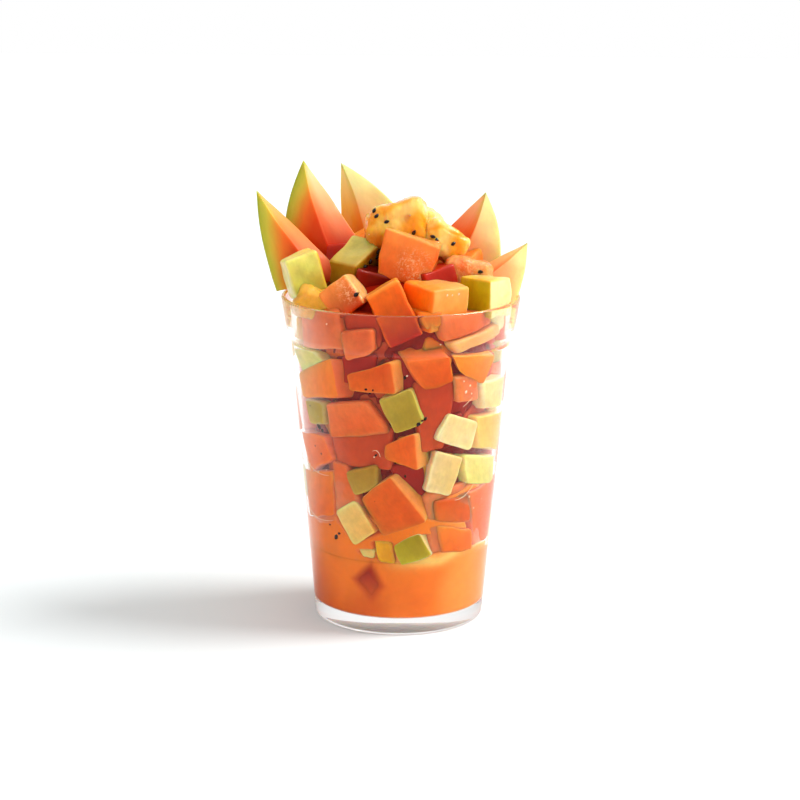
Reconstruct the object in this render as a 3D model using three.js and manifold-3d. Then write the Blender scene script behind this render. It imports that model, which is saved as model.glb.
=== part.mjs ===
// Fruit cup: a tall clear glass of cut papaya, melon and golden kiwi in orange juice, heaped above
// the rim, with five slices of green-skinned papaya standing in the heap.
// Millimetres, +Z up. The origin is the middle of the glass's flat foot, and -Y is the front.
import * as THREE from "three";
import { ConvexGeometry } from "three/addons/geometries/ConvexGeometry.js";
import { mergeVertices } from "three/addons/utils/BufferGeometryUtils.js";
import Module from "manifold-3d";

const wasm = await Module();
wasm.setup();

// ---- Driving dimensions -------------------------------------------------------------------

const GLASS_HEIGHT = 124.5;
const RIM_RADIUS = 45;
const COLLAR_RADIUS = 42.9; // outside, at the collar's lower edge
const SHOULDER_RADIUS = 41.45; // outside, under the collar
const FOOT_RADIUS = 32.2; // outside, where the foot's rounding ends
const COLLAR_BOTTOM = 110.5;
const SHOULDER_BOTTOM = 108;
const FOOT_ROUNDING = 1.8;
const FLOOR_HEIGHT = 6.5; // thickness of the solid glass base
const FLOOR_ROUNDING = 3;
const LIP_THICKNESS = 1.7;
const WALL_AT_SHOULDER = 1.85;
const WALL_AT_FLOOR = 2.1;
const COLLAR_STEP_BOTTOM = 107.5; // the same step on the inside
const COLLAR_STEP_TOP = 110.5;

const JUICE_LEVEL = 29;
const GAP = 0.3; // between pieces that touch
const HEAP_RECESS = 2.6; // of the heap's core behind the fruit that presses on the wall
const HEAP_SHOULDER = 113; // where the core starts to round in to the top of the heap
const HEAP_TOP = 136;

const WEDGE_THICKNESS = 8.5;
const WEDGE_BEVEL = 0.4;
const CHAMFER = 0.08; // of a cube's width, taken off each edge
const UNEVEN = 0.07; // of a cube's width, how far a corner may be out of place
const LUMP_WAVES = [2.1, 3.3, 4.6]; // how fast the waves on a lump of pulp run
const LUMP_SWELL = 0.2; // of a lump's half width, how high its slowest waves would be at a rate of 1
const FLAT_SHARE = 0.9; // a packed piece's depth, as a share of its width or height

const ROUND_SEGMENTS = 48;
const ROOM_SEGMENTS = 32; // of the space that the fruit is trimmed to
const CORE_SEGMENTS = 20;
const LUMP_DETAIL = 2;
const ARC_STEPS = 3;
const DOME_STEPS = 5;

// ---- Finishes -----------------------------------------------------------------------------

const finish = (color, roughness, extra = {}) =>
  new THREE.MeshStandardMaterial({ color, roughness, metalness: 0, ...extra });

const clearGlass = finish("#eef1f2", 0.05, { transparent: true, opacity: 0.35 });
const orangeJuice = finish("#e8722a", 0.25);
const mixedFruit = finish("#e4733a", 0.35);
const papayaSlice = finish("#ef7440", 0.4);
const papayaFlesh = finish("#ea5f2c", 0.35);
const melonFlesh = finish("#f58a3c", 0.35);
const greenMelon = finish("#cfd06a", 0.35);
const goldenPulp = finish("#f2a02a", 0.2);

// ---- Small helpers ------------------------------------------------------------------------

const radians = THREE.MathUtils.degToRad;
const lerp = THREE.MathUtils.lerp;

// Where the repeatable streams of numbers start, one for each kind of piece.
const SEEDS = { toppings: 20, back: 11, wall: 100, moundTurns: 300, mound: 400 };

// A repeatable stream of numbers from 0 to 1.
function numbersFrom(seed) {
  let state = seed;
  return () => {
    state = (state * 1664525 + 1013904223) % 4294967296;
    return state / 4294967296;
  };
}

// A closed three.js geometry as a solid that can be joined and cut.
function solidOf(geometry) {
  const bare = geometry.index ? geometry.toNonIndexed() : geometry.clone();
  bare.deleteAttribute("normal");
  bare.deleteAttribute("uv");
  const merged = mergeVertices(bare, 1e-4);
  return new wasm.Manifold(
    new wasm.Mesh({
      numProp: 3,
      vertProperties: merged.attributes.position.array,
      triVerts: new Uint32Array(merged.index.array),
    }),
  );
}

// The biggest body of a solid, without crumbs and sealed pockets that cutting has left.
function mainBody(solid) {
  return solid.decompose().reduce((best, body) => (body.volume() > best.volume() ? body : best));
}

function meshOf(name, solid, material) {
  const cut = mainBody(solid).getMesh();
  const geometry = new THREE.BufferGeometry();
  geometry.setAttribute("position", new THREE.BufferAttribute(cut.vertProperties, 3));
  geometry.setIndex(new THREE.BufferAttribute(cut.triVerts, 1));
  geometry.computeVertexNormals();
  const mesh = new THREE.Mesh(geometry, material);
  mesh.name = name;
  return mesh;
}

// A profile of [radius, height] points, turned round the Z axis.
function turned(profile, segments = ROUND_SEGMENTS) {
  const points = profile.map(([radius, height]) => new THREE.Vector2(radius, height));
  return new THREE.LatheGeometry(points, segments).rotateX(Math.PI / 2);
}

// Points on an arc in the profile's plane, from one angle to another in degrees.
function arc(radius, height, size, from, to) {
  return Array.from({ length: ARC_STEPS + 1 }, (_, i) => {
    const angle = radians(lerp(from, to, i / ARC_STEPS));
    return [radius + size * Math.cos(angle), height + size * Math.sin(angle)];
  });
}

// A geometry moved to its place: turned about its own X, Y and Z in degrees, then shifted.
function placed(geometry, at, turn = [0, 0, 0]) {
  const holder = new THREE.Object3D();
  holder.position.set(...at);
  holder.rotation.set(...turn.map(radians), "ZYX");
  holder.updateMatrix();
  return geometry.applyMatrix4(holder.matrix);
}

// ---- The glass ----------------------------------------------------------------------------

const wallThickness = (z) =>
  lerp(WALL_AT_FLOOR, WALL_AT_SHOULDER, (z - FLOOR_HEIGHT) / (SHOULDER_BOTTOM - FLOOR_HEIGHT));
const bodyRadius = (z) =>
  lerp(FOOT_RADIUS, SHOULDER_RADIUS, (z - FOOT_ROUNDING) / (SHOULDER_BOTTOM - FOOT_ROUNDING));
const collarRadius = (z) =>
  lerp(COLLAR_RADIUS, RIM_RADIUS, (z - COLLAR_BOTTOM) / (GLASS_HEIGHT - COLLAR_BOTTOM));

// The inside of the glass at a height, with the step under the collar.
function insideRadius(z) {
  if (z <= COLLAR_STEP_BOTTOM) return bodyRadius(z) - wallThickness(z);
  const under = bodyRadius(COLLAR_STEP_BOTTOM) - wallThickness(COLLAR_STEP_BOTTOM);
  const over = collarRadius(COLLAR_STEP_TOP) - LIP_THICKNESS;
  if (z < COLLAR_STEP_TOP) {
    return lerp(under, over, (z - COLLAR_STEP_BOTTOM) / (COLLAR_STEP_TOP - COLLAR_STEP_BOTTOM));
  }
  return collarRadius(z) - LIP_THICKNESS;
}

function glassSolid() {
  const lip = LIP_THICKNESS / 2;
  const lipHeight = GLASS_HEIGHT - lip;
  const floorCorner = insideRadius(FLOOR_HEIGHT + FLOOR_ROUNDING) - FLOOR_ROUNDING;
  const outside = [
    [0, 0],
    [FOOT_RADIUS - FOOT_ROUNDING, 0],
    ...arc(FOOT_RADIUS - FOOT_ROUNDING, FOOT_ROUNDING, FOOT_ROUNDING, -60, 0),
    [SHOULDER_RADIUS, SHOULDER_BOTTOM],
    [COLLAR_RADIUS, COLLAR_BOTTOM],
    ...arc(RIM_RADIUS - lip, lipHeight, lip, 0, 180),
  ];
  const inside = [
    [insideRadius(COLLAR_STEP_TOP), COLLAR_STEP_TOP],
    [insideRadius(COLLAR_STEP_BOTTOM), COLLAR_STEP_BOTTOM],
    ...arc(floorCorner, FLOOR_HEIGHT + FLOOR_ROUNDING, FLOOR_ROUNDING, 0, -90),
    [0, FLOOR_HEIGHT],
  ];
  return solidOf(turned([...outside, ...inside]));
}

// Everything that lies inside the wall, short of it by a margin. Above the rim it is wide open.
function roomInside(margin, bottom) {
  const open = 2 * RIM_RADIUS;
  const profile = [
    [0, bottom],
    [insideRadius(bottom) - margin, bottom],
    [insideRadius(COLLAR_STEP_BOTTOM) - margin, COLLAR_STEP_BOTTOM],
    [insideRadius(COLLAR_STEP_TOP) - margin, COLLAR_STEP_TOP],
    [insideRadius(GLASS_HEIGHT) - margin, GLASS_HEIGHT + margin],
    [open, GLASS_HEIGHT + margin],
    [open, 2 * GLASS_HEIGHT],
    [0, 2 * GLASS_HEIGHT],
  ];
  return solidOf(turned(profile, ROOM_SEGMENTS));
}

// ---- The juice ----------------------------------------------------------------------------

function juiceSolid() {
  const corner = FLOOR_ROUNDING - GAP;
  const cornerRadius = insideRadius(FLOOR_HEIGHT + FLOOR_ROUNDING) - FLOOR_ROUNDING;
  return solidOf(
    turned([
      [0, FLOOR_HEIGHT + GAP],
      ...arc(cornerRadius, FLOOR_HEIGHT + FLOOR_ROUNDING, corner, -90, 0),
      [insideRadius(JUICE_LEVEL) - GAP, JUICE_LEVEL],
      [0, JUICE_LEVEL],
    ]),
  );
}

// ---- Cut fruit ----------------------------------------------------------------------------

// A hand-cut cube: every corner is a little out of place, and every edge is slightly blunt.
function cutCube(sizes, seed, { grow = 0, chamfer = CHAMFER } = {}) {
  const next = numbersFrom(seed);
  const corners = [0, 1, 2, 3, 4, 5, 6, 7].map((index) =>
    sizes.map((size, axis) => {
      const side = (index >> axis) & 1 ? 1 : -1;
      return side * ((size / 2) * (1 + lerp(-UNEVEN, UNEVEN, next())) + grow);
    }),
  );
  const blunted = (corner) =>
    [0, 1, 2].map((kept) => corner.map((value, axis) => (axis === kept ? value : value * (1 - chamfer))));
  const points = chamfer ? corners.flatMap(blunted) : corners;
  return new ConvexGeometry(points.map((point) => new THREE.Vector3(...point)));
}

// A soft lump of pulp: a ball pushed out and in by a few slow waves.
function pulpLump([width, depth, height], seed, { grow = 0 } = {}) {
  const next = numbersFrom(seed);
  const waves = LUMP_WAVES.map((rate) => ({ rate, phase: 2 * Math.PI * next(), size: LUMP_SWELL / rate }));
  const ball = new THREE.IcosahedronGeometry(1, LUMP_DETAIL);
  const position = ball.attributes.position;
  const point = new THREE.Vector3();
  for (let i = 0; i < position.count; i += 1) {
    point.fromBufferAttribute(position, i);
    const swell = waves.reduce(
      (sum, { rate, phase, size }) =>
        sum + size * Math.sin(rate * point.x + phase) * Math.cos(rate * (point.y - point.z) + phase),
      1,
    );
    point.multiplyScalar(swell);
    point.multiply(new THREE.Vector3(width / 2 + grow, depth / 2 + grow, height / 2 + grow));
    position.setXYZ(i, point.x, point.y, point.z);
  }
  return ball;
}

// ---- The slices that stand in the heap ----------------------------------------------------

// Each slice is a pointed piece with a curved skin on one side. Its corners are [x, z] places on
// the upright plane that it stands in: the tip, the lower end of the skin, and the lower end of
// the straight cut. bulge is how far the skin curves out, and y is where the plane stands.
const SLICES = [
  { name: "slice_far_left", tip: [-54, 163], skin: [-46, 126], cut: [-21, 131], bulge: -1.2, y: 0, turn: -6 },
  { name: "slice_left", tip: [-37, 173], skin: [-44, 136], cut: [-12, 136], bulge: -2.2, y: 13, turn: -8 },
  { name: "slice_middle", tip: [-23.5, 171], skin: [7, 140], cut: [-22, 136], bulge: 3.4, y: 26, turn: 12 },
  { name: "slice_right", tip: [32, 161], skin: [37, 129], cut: [6, 134], bulge: 2.5, y: 16, turn: 8 },
  { name: "slice_far_right", tip: [47.5, 143.5], skin: [42, 119], cut: [20, 128], bulge: 1, y: 4, turn: 6 },
];

function sliceGeometry({ tip, skin, cut, bulge, y, turn }, grow = 0) {
  const middle = [(tip[0] + skin[0]) / 2, (tip[1] + skin[1]) / 2];
  const length = Math.hypot(skin[0] - tip[0], skin[1] - tip[1]);
  const outwards = [(tip[1] - skin[1]) / length, (skin[0] - tip[0]) / length];
  const control = [middle[0] + 2 * bulge * outwards[0], middle[1] + 2 * bulge * outwards[1]];
  const outline = new THREE.Shape();
  outline.moveTo(...tip);
  outline.quadraticCurveTo(...control, ...skin);
  outline.lineTo(...cut);
  outline.closePath();
  const bevel = WEDGE_BEVEL + grow;
  const geometry = new THREE.ExtrudeGeometry(outline, {
    depth: WEDGE_THICKNESS - 2 * WEDGE_BEVEL,
    curveSegments: 8,
    bevelSize: bevel,
    bevelThickness: bevel,
    bevelOffset: -WEDGE_BEVEL,
    bevelSegments: 1,
  });
  geometry.translate(-middle[0], -middle[1], WEDGE_BEVEL - WEDGE_THICKNESS / 2);
  geometry.rotateX(Math.PI / 2);
  return placed(geometry, [middle[0], y, middle[1]], [0, 0, turn]);
}

// ---- Loose pieces on top of the heap ------------------------------------------------------

// at is the middle of the piece, size is its width, depth and height before it is turned.
const TOPPINGS = [
  { name: "papaya_cube_centre", at: [2.7, -10, 140], size: [20, 16, 18], turn: [-8, 10, -6] },
  { name: "melon_cube_front", at: [-2.5, -30.5, 122.8], size: [13.5, 14, 22], turn: [-6, -25, 4] },
  { name: "melon_block_front_right", at: [13, -26.5, 125], size: [18, 16, 16], turn: [2, 3, 37] },
  { name: "melon_cube_front_left", at: [-20.2, -24, 127.2], size: [13, 13, 12.5], turn: [-12, -38, -8] },
  { name: "green_cube_left", at: [-36, -14, 134], size: [13, 13, 15], turn: [-6, -17, 14] },
  { name: "green_cube_right", at: [31.5, -17.5, 127.3], size: [12.5, 14, 14], turn: [0, 0, 45] },
  { name: "green_cube_seeded", at: [-17, -6.7, 137.4], size: [19.5, 11.5, 11], turn: [12, -22, 57] },
  { name: "papaya_cube_shaded", at: [-11, -11, 130], size: [15, 14, 13], turn: [8, 16, 10] },
  { name: "melon_lump_right", at: [25, -7, 133.5], size: [17, 13, 12], turn: [0, 12, 0] },
  { name: "golden_lump_front", at: [-2, 0, 152], size: [24, 17, 17], turn: [0, -8, 0] },
  { name: "golden_chunk_back", at: [6.5, 7, 149.8], size: [17, 12, 15], turn: [0, 38, 0] },
  { name: "golden_chunk_right", at: [15.5, -1, 145.2], size: [17, 12, 12], turn: [0, 34, 20] },
  { name: "golden_piece_left", at: [-31, -19.5, 124.5], size: [16, 11, 12], turn: [0, 20, -20] },
];
const LUMPS = ["melon_lump_right", "golden_lump_front", "golden_piece_left"];
const FINISH_OF = { papaya: papayaFlesh, melon: melonFlesh, green: greenMelon, golden: goldenPulp };

// ---- The fruit inside the glass -----------------------------------------------------------

// Pieces that press on the wall at the front: [angle round the glass from the front, height of
// the middle, width, height, tilt], in degrees and millimetres. Right is a positive angle.
const FRONT_PIECES = [
  [-40, 116, 19, 16, 8],
  [-20, 116, 14, 13, -10],
  [24, 113, 20, 12, 5],
  [56, 116, 17, 15, 0],
  [46, 107, 24, 11, -4],
  [-60, 103, 12, 12, 10],
  [-43, 97, 19, 18, -14],
  [-22, 101, 15, 15, 20],
  [-10, 102, 18, 19, 24],
  [14, 106, 19, 22, 15],
  [48, 99, 21, 14, -8],
  [66, 91, 12, 16, 4],
  [-56, 83, 14, 12, 18],
  [-24, 84, 25, 17, -6],
  [2, 89, 18, 18, 17],
  [24, 87, 17, 20, 12],
  [38, 95, 12, 14, -20],
  [34, 79, 15, 15, -18],
  [62, 77, 14, 17, 6],
  [-58, 69, 15, 16, -8],
  [-24, 72, 22, 12, 4],
  [4, 72, 16, 16, -9],
  [-24, 62, 15, 14, 12],
  [26, 62, 12, 19, -20],
  [52, 63, 14, 14, 10],
  [-54, 52, 15, 21, 4],
  [-38, 60, 16, 14, 24],
  [-28, 44, 12, 20, 34],
  [0, 52, 24, 18, -30],
  [36, 47, 17, 14, 14],
  [64, 44, 12, 18, 0],
  [40, 35, 14, 12, 20],
  [-44, 38, 12, 10, 8],
  [9, 37, 17, 13, 14],
];

// The sides and the back go on in the same way: staggered rows of uneven pieces.
const BACK_ROWS = [42, 65, 88, 111];
const BACK_PER_ROW = 6;
const BACK_FROM = 82;
const BACK_TO = 278;
const MOST_LEAN = 35; // degrees that a piece may lean to either side

function backPieces() {
  const next = numbersFrom(SEEDS.back);
  return BACK_ROWS.flatMap((z, row) =>
    Array.from({ length: BACK_PER_ROW }, (_, i) => {
      const along = (i + 0.5 * (row % 2) + 0.3 * next()) / BACK_PER_ROW;
      const angle = lerp(BACK_FROM, BACK_TO, along);
      const height = z + lerp(-3, 3, next());
      const width = lerp(16, 22, next());
      const tall = lerp(16, 21, next());
      return [angle, height, width, tall, lerp(-MOST_LEAN, MOST_LEAN, next())];
    }),
  );
}

// Pieces on the back and sides of the mound above the rim: where the middle is, and the width.
const MOUND_PIECES = [
  [-32, 14, 127, 17],
  [-20, 31, 125, 16],
  [-1, 35, 127, 17],
  [19, 29, 126, 17],
  [34, 14, 125, 15],
  [-19, 5, 134, 15],
  [-8, 15, 140, 17],
  [9, 20, 139, 16],
  [23, 8, 131, 15],
  [12, -13, 130, 14],
];

// A piece on the wall would stand this far through it if it were not pressed flat.
const WALL_PRESS = 1.2;
const MOST_TILT = 25; // degrees that a piece in the mound may tip
const SQUARE = { chamfer: 0 }; // the heap's own pieces keep square edges

function wallPiece([angle, z, width, height, tilt], index) {
  const depth = FLAT_SHARE * Math.min(width, height);
  const radius = insideRadius(Math.min(z, COLLAR_STEP_BOTTOM)) + WALL_PRESS - depth / 2;
  const at = [radius * Math.sin(radians(angle)), -radius * Math.cos(radians(angle)), z];
  return solidOf(placed(cutCube([width, depth, height], SEEDS.wall + index, SQUARE), at, [0, -tilt, angle]));
}

function moundPiece([x, y, z, size], index) {
  const next = numbersFrom(SEEDS.moundTurns + index);
  const turn = [lerp(-MOST_TILT, MOST_TILT, next()), lerp(-MOST_TILT, MOST_TILT, next()), 90 * next()];
  const cube = cutCube([size, 0.9 * size, 0.95 * size], SEEDS.mound + index, SQUARE);
  return solidOf(placed(cube, [x, y, z], turn));
}

// The core that carries the pieces, from the juice up to the top of the mound.
function heapCore() {
  const bottom = JUICE_LEVEL + GAP;
  const side = (z) => insideRadius(Math.min(z, COLLAR_STEP_BOTTOM)) - HEAP_RECESS;
  const domeHeight = HEAP_TOP - HEAP_SHOULDER;
  const dome = Array.from({ length: DOME_STEPS + 1 }, (_, i) => {
    const angle = radians((90 * i) / DOME_STEPS);
    return [side(HEAP_SHOULDER) * Math.cos(angle), HEAP_SHOULDER + domeHeight * Math.sin(angle)];
  });
  const profile = [[0, bottom], [side(bottom), bottom], ...dome.slice(0, -1), [0, HEAP_TOP]];
  return solidOf(turned(profile, CORE_SEGMENTS));
}

// ---- Putting it together ------------------------------------------------------------------

const cup = new THREE.Group();
cup.name = "fruit_cup";
cup.add(meshOf("glass", glassSolid(), clearGlass));
cup.add(meshOf("juice", juiceSolid(), orangeJuice));

// Each piece is cut by the ones before it, which are taken a gap larger, so that none overlap.
const room = roomInside(GAP, JUICE_LEVEL + GAP);
let taken = null;
function add(name, geometry, larger, material) {
  const fitted = taken ? solidOf(geometry).subtract(taken) : solidOf(geometry);
  cup.add(meshOf(name, fitted.intersect(room), material));
  taken = taken ? taken.add(solidOf(larger)) : solidOf(larger);
}

TOPPINGS.forEach(({ name, at, size, turn }, index) => {
  const shape = LUMPS.includes(name) ? pulpLump : cutCube;
  const make = (grow) => placed(shape(size, SEEDS.toppings + index, { grow }), at, turn);
  add(name, make(0), make(GAP), FINISH_OF[name.split("_")[0]]);
});
for (const slice of SLICES) {
  add(slice.name, sliceGeometry(slice), sliceGeometry(slice, GAP), papayaSlice);
}

const pressed = [...FRONT_PIECES, ...backPieces()].map(wallPiece);
const mounded = MOUND_PIECES.map(moundPiece);
const heap = [...pressed, ...mounded].reduce((sum, piece) => sum.add(piece), heapCore());
cup.add(meshOf("mixed_fruit", heap.intersect(room).subtract(taken), mixedFruit));

export default cup;
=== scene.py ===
# %% [markdown]
# # A fruit cup in a tall clear glass
# The real thing is a half-litre glass packed with hand-cut papaya, melon and golden kiwi in their own
# juice. The CAD model fixes every size, so this lesson only makes surfaces: glass, wet flesh, skin,
# seeds and juice. We work in metres, because the frame does, and name sizes in millimetres.

# %% Load the frame
import math

import bpy
import numpy as np
from mathutils import Matrix, Vector, geometry
from mathutils.bvhtree import BVHTree


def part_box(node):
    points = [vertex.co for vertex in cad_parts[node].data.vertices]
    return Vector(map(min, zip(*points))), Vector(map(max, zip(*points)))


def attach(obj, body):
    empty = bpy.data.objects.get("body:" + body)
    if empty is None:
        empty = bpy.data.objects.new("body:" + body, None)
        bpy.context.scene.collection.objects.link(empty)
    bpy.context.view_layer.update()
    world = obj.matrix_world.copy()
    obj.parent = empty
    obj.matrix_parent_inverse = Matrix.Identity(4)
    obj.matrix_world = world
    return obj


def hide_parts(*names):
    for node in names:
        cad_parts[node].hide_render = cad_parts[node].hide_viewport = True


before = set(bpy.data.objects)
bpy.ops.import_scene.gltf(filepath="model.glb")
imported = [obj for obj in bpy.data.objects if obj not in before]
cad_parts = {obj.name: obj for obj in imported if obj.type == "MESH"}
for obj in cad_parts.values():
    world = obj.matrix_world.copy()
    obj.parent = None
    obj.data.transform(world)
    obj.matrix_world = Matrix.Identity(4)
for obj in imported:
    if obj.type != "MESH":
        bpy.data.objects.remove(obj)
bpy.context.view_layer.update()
MM = 0.001
print("CAD nodes:", len(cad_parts))

# %% [markdown]
# ## Repeatable chance
# Hand-cut fruit is uneven, so we need random numbers, but the same ones in every run. The CAD cubes
# were made uneven by a small stream of numbers, and the same stream here gives the same corners.


# %% Streams of numbers
def numbers_from(seed):
    state = seed
    while True:
        state = (state * 1664525 + 1013904223) % 4294967296
        yield state / 4294967296


def mix(a, b, share):
    return a + (b - a) * share


def slow_waves(points, seed, length, count=9):
    """A smooth uneven field of about -1 to 1: sine waves of one length that cross at random."""
    chance = np.random.default_rng(seed)
    field = np.zeros(len(points))
    for _ in range(count):
        direction = chance.normal(size=3)
        direction /= np.linalg.norm(direction)
        rate = 2 * math.pi / (length * chance.uniform(0.7, 1.5))
        field += np.sin(points @ direction * rate + chance.uniform(0, 2 * math.pi))
    return field / math.sqrt(count)


# %% [markdown]
# ## The glass and its inside
# A drinking glass is turned, so one profile says all of it. We repeat the glass's named sizes here,
# because everything inside has to know where the wall is.

# %% Sizes of the glass
GLASS_HEIGHT = 124.5
RIM_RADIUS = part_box("glass")[1].x / MM
COLLAR_RADIUS = 42.9
SHOULDER_RADIUS = 41.45
FOOT_RADIUS = 32.2
COLLAR_BOTTOM = 110.5
SHOULDER_BOTTOM = 108.0
STEP_BOTTOM = 107.5
FOOT_ROUNDING = 1.8
FLOOR_HEIGHT = 6.5
FLOOR_ROUNDING = 3.0
LIP_THICKNESS = 1.7
WALL_AT_SHOULDER = 1.85
WALL_AT_FLOOR = 2.1
JUICE_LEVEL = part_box("juice")[1].z / MM
print("rim radius", round(RIM_RADIUS, 2), "mm, juice level", round(JUICE_LEVEL, 2), "mm")


def body_radius(z):
    return mix(FOOT_RADIUS, SHOULDER_RADIUS, (z - FOOT_ROUNDING) / (SHOULDER_BOTTOM - FOOT_ROUNDING))


def collar_radius(z):
    return mix(COLLAR_RADIUS, RIM_RADIUS, (z - COLLAR_BOTTOM) / (GLASS_HEIGHT - COLLAR_BOTTOM))


def inside_radius(z):
    """Radius of the inside of the glass at a height in mm. z may be an array."""
    z = np.asarray(z, float)
    wall = mix(WALL_AT_FLOOR, WALL_AT_SHOULDER, (z - FLOOR_HEIGHT) / (SHOULDER_BOTTOM - FLOOR_HEIGHT))
    body = body_radius(z) - wall
    collar = collar_radius(z) - LIP_THICKNESS
    share = np.clip((z - STEP_BOTTOM) / (COLLAR_BOTTOM - STEP_BOTTOM), 0, 1)
    inside = mix(body, collar, share)
    corner_height = FLOOR_HEIGHT + FLOOR_ROUNDING
    drop = np.clip((corner_height - z) / FLOOR_ROUNDING, 0, 1)
    return inside - FLOOR_ROUNDING * (1 - np.sqrt(1 - drop**2))


# %% [markdown]
# ## Turning a profile
# Blender's Screw modifier can turn a profile, but a short function gives the exact rings, closes both
# ends on the axis and keeps every face pointing out.


# %% Lathe
def arc(radius, height, size, start, end, steps=8):
    angles = np.radians(np.linspace(start, end, steps + 1))
    return [(radius + size * math.cos(a), height + size * math.sin(a)) for a in angles]


def soften(before, corner, after, reach, steps=5):
    """Round one corner of a profile: a curve that starts and ends this far from the corner."""
    before, corner, after = (np.array(p, float) for p in (before, corner, after))
    start = corner + (before - corner) * reach / np.linalg.norm(before - corner)
    end = corner + (after - corner) * reach / np.linalg.norm(after - corner)
    shares = np.linspace(0, 1, steps + 1)
    return [tuple((1 - t) ** 2 * start + 2 * t * (1 - t) * corner + t**2 * end) for t in shares]


def turned(profile, segments):
    """Points and faces of a profile of (radius, height) in mm that starts and ends on the axis."""
    angles = np.arange(segments) * 2 * math.pi / segments
    rings = profile[1:-1]
    points = [(0, 0, profile[0][1])]
    for radius, height in rings:
        points += [(radius * math.cos(a), radius * math.sin(a), height) for a in angles]
    points.append((0, 0, profile[-1][1]))
    last = len(points) - 1
    around = [(i, (i + 1) % segments) for i in range(segments)]
    faces = [(0, 1 + b, 1 + a) for a, b in around]
    for ring in range(len(rings) - 1):
        low, high = 1 + ring * segments, 1 + (ring + 1) * segments
        faces += [(low + a, low + b, high + b, high + a) for a, b in around]
    top = 1 + (len(rings) - 1) * segments
    faces += [(top + a, top + b, last) for a, b in around]
    return np.array(points) * MM, faces


# %% Mesh objects
ATTRIBUTE_KINDS = {  # by how many numbers each point stores
    1: ("FLOAT", "value"),
    3: ("FLOAT_VECTOR", "vector"),
    4: ("FLOAT_COLOR", "color"),
}


def make_piece(name, points, faces, attributes=None, smooth=True):
    """A mesh object in the scene, with values stored at its points."""
    mesh = bpy.data.meshes.new(name)
    mesh.from_pydata(np.asarray(points).tolist(), [], [tuple(int(i) for i in face) for face in faces])
    mesh.update()
    for key, values in (attributes or {}).items():
        values = np.asarray(values, np.float32)
        width = values.shape[1] if values.ndim == 2 else 1
        kind, field = ATTRIBUTE_KINDS[width]
        mesh.attributes.new(key, kind, "POINT").data.foreach_set(field, values.ravel())
    mesh.polygons.foreach_set("use_smooth", [smooth] * len(mesh.polygons))
    piece = bpy.data.objects.new(name, mesh)
    bpy.context.scene.collection.objects.link(piece)
    print(name, len(mesh.polygons), "faces")
    return piece


# %% [markdown]
# ## Node helpers
# Each finish is a small node tree. These helpers place a node and join it up in one line, so that a
# finish reads like a recipe. Positions are in metres, so a grain of 3 mm needs a noise scale of 330.


# %% Node helpers
def colour(red, green, blue):
    """An 0 to 255 screen colour as the linear colour that shaders use."""
    def linear(v):
        v /= 255
        return v / 12.92 if v <= 0.04045 else ((v + 0.055) / 1.055) ** 2.4
    return (linear(red), linear(green), linear(blue), 1.0)


class Recipe:
    """A material's node tree, with short ways to add nodes."""

    def __init__(self, name):
        self.material = bpy.data.materials.new(name)
        self.material.use_nodes = True
        self.tree = self.material.node_tree
        self.tree.nodes.clear()
        self.output = self.tree.nodes.new("ShaderNodeOutputMaterial")
        self.place = self.node("ShaderNodeTexCoord").outputs["Object"]

    def node(self, kind, settings=None, **inputs):
        new = self.tree.nodes.new(kind)
        for key, value in (settings or {}).items():
            setattr(new, key, value)
        for key, value in inputs.items():
            self.set(new, key.replace("_", " "), value)
        return new

    def set(self, node, key, value):
        socket = node.inputs[int(key)] if key.isdigit() else node.inputs[key]
        if isinstance(value, bpy.types.NodeSocket):
            self.tree.links.new(value, socket)
        else:
            socket.default_value = value

    def noise(self, grain, detail=3.0, rough=0.5, stretch=(1, 1, 1), twist=0.0):
        """Noise whose spots are about grain mm wide."""
        mapping = self.node("ShaderNodeMapping", Vector=self.place, Scale=stretch)
        return self.node(
            "ShaderNodeTexNoise", Vector=mapping.outputs[0], Scale=1 / (grain * MM),
            Detail=detail, Roughness=rough, Distortion=twist,
        ).outputs[0]

    def ramp(self, value, *stops):
        """A colour ramp of (position, colour) or (position, grey) stops."""
        node = self.node("ShaderNodeValToRGB", Fac=value)
        band = node.color_ramp
        while len(band.elements) < len(stops):
            band.elements.new(0.5)
        for element, (position, shade) in zip(band.elements, stops):
            element.position = position
            element.color = shade if isinstance(shade, tuple) else (shade, shade, shade, 1)
        return node.outputs[0]

    def blend(self, share, a, b, how="MIX"):
        node = self.node("ShaderNodeMix", {"data_type": "RGBA", "blend_type": how})
        for socket, value in ((node.inputs[0], share), (node.inputs[6], a), (node.inputs[7], b)):
            if isinstance(value, bpy.types.NodeSocket):
                self.tree.links.new(value, socket)
            else:
                socket.default_value = value
        return node.outputs[2]

    def attribute(self, name, output="Color"):
        return self.node("ShaderNodeAttribute", {"attribute_name": name}).outputs[output]

    def maths(self, operation, *values):
        """The result of a Math node on numbers or sockets."""
        inputs = {str(place): value for place, value in enumerate(values)}
        return self.node("ShaderNodeMath", {"operation": operation}, **inputs).outputs[0]

    def map_range(self, value, low, high):
        """A value as its share of the way from low to high."""
        limits = {"From Min": low, "From Max": high}
        return self.node("ShaderNodeMapRange", Value=value, **limits).outputs[0]

    def for_rays(self, ray, then, otherwise):
        """One shader for one kind of ray, and another for all the rest."""
        is_ray = self.node("ShaderNodeLightPath").outputs[ray]
        return self.node("ShaderNodeMixShader", **{"0": is_ray, "1": otherwise, "2": then}).outputs[0]

    def bump(self, height, depth, base=None):
        """Relief whose full height is depth mm."""
        node = self.node("ShaderNodeBump", Height=height, Distance=depth * MM, Strength=1.0)
        if base is not None:
            self.tree.links.new(base, node.inputs["Normal"])
        return node.outputs[0]

    def finish(self, shader):
        self.tree.links.new(shader, self.output.inputs["Surface"])
        return self.material


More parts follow.
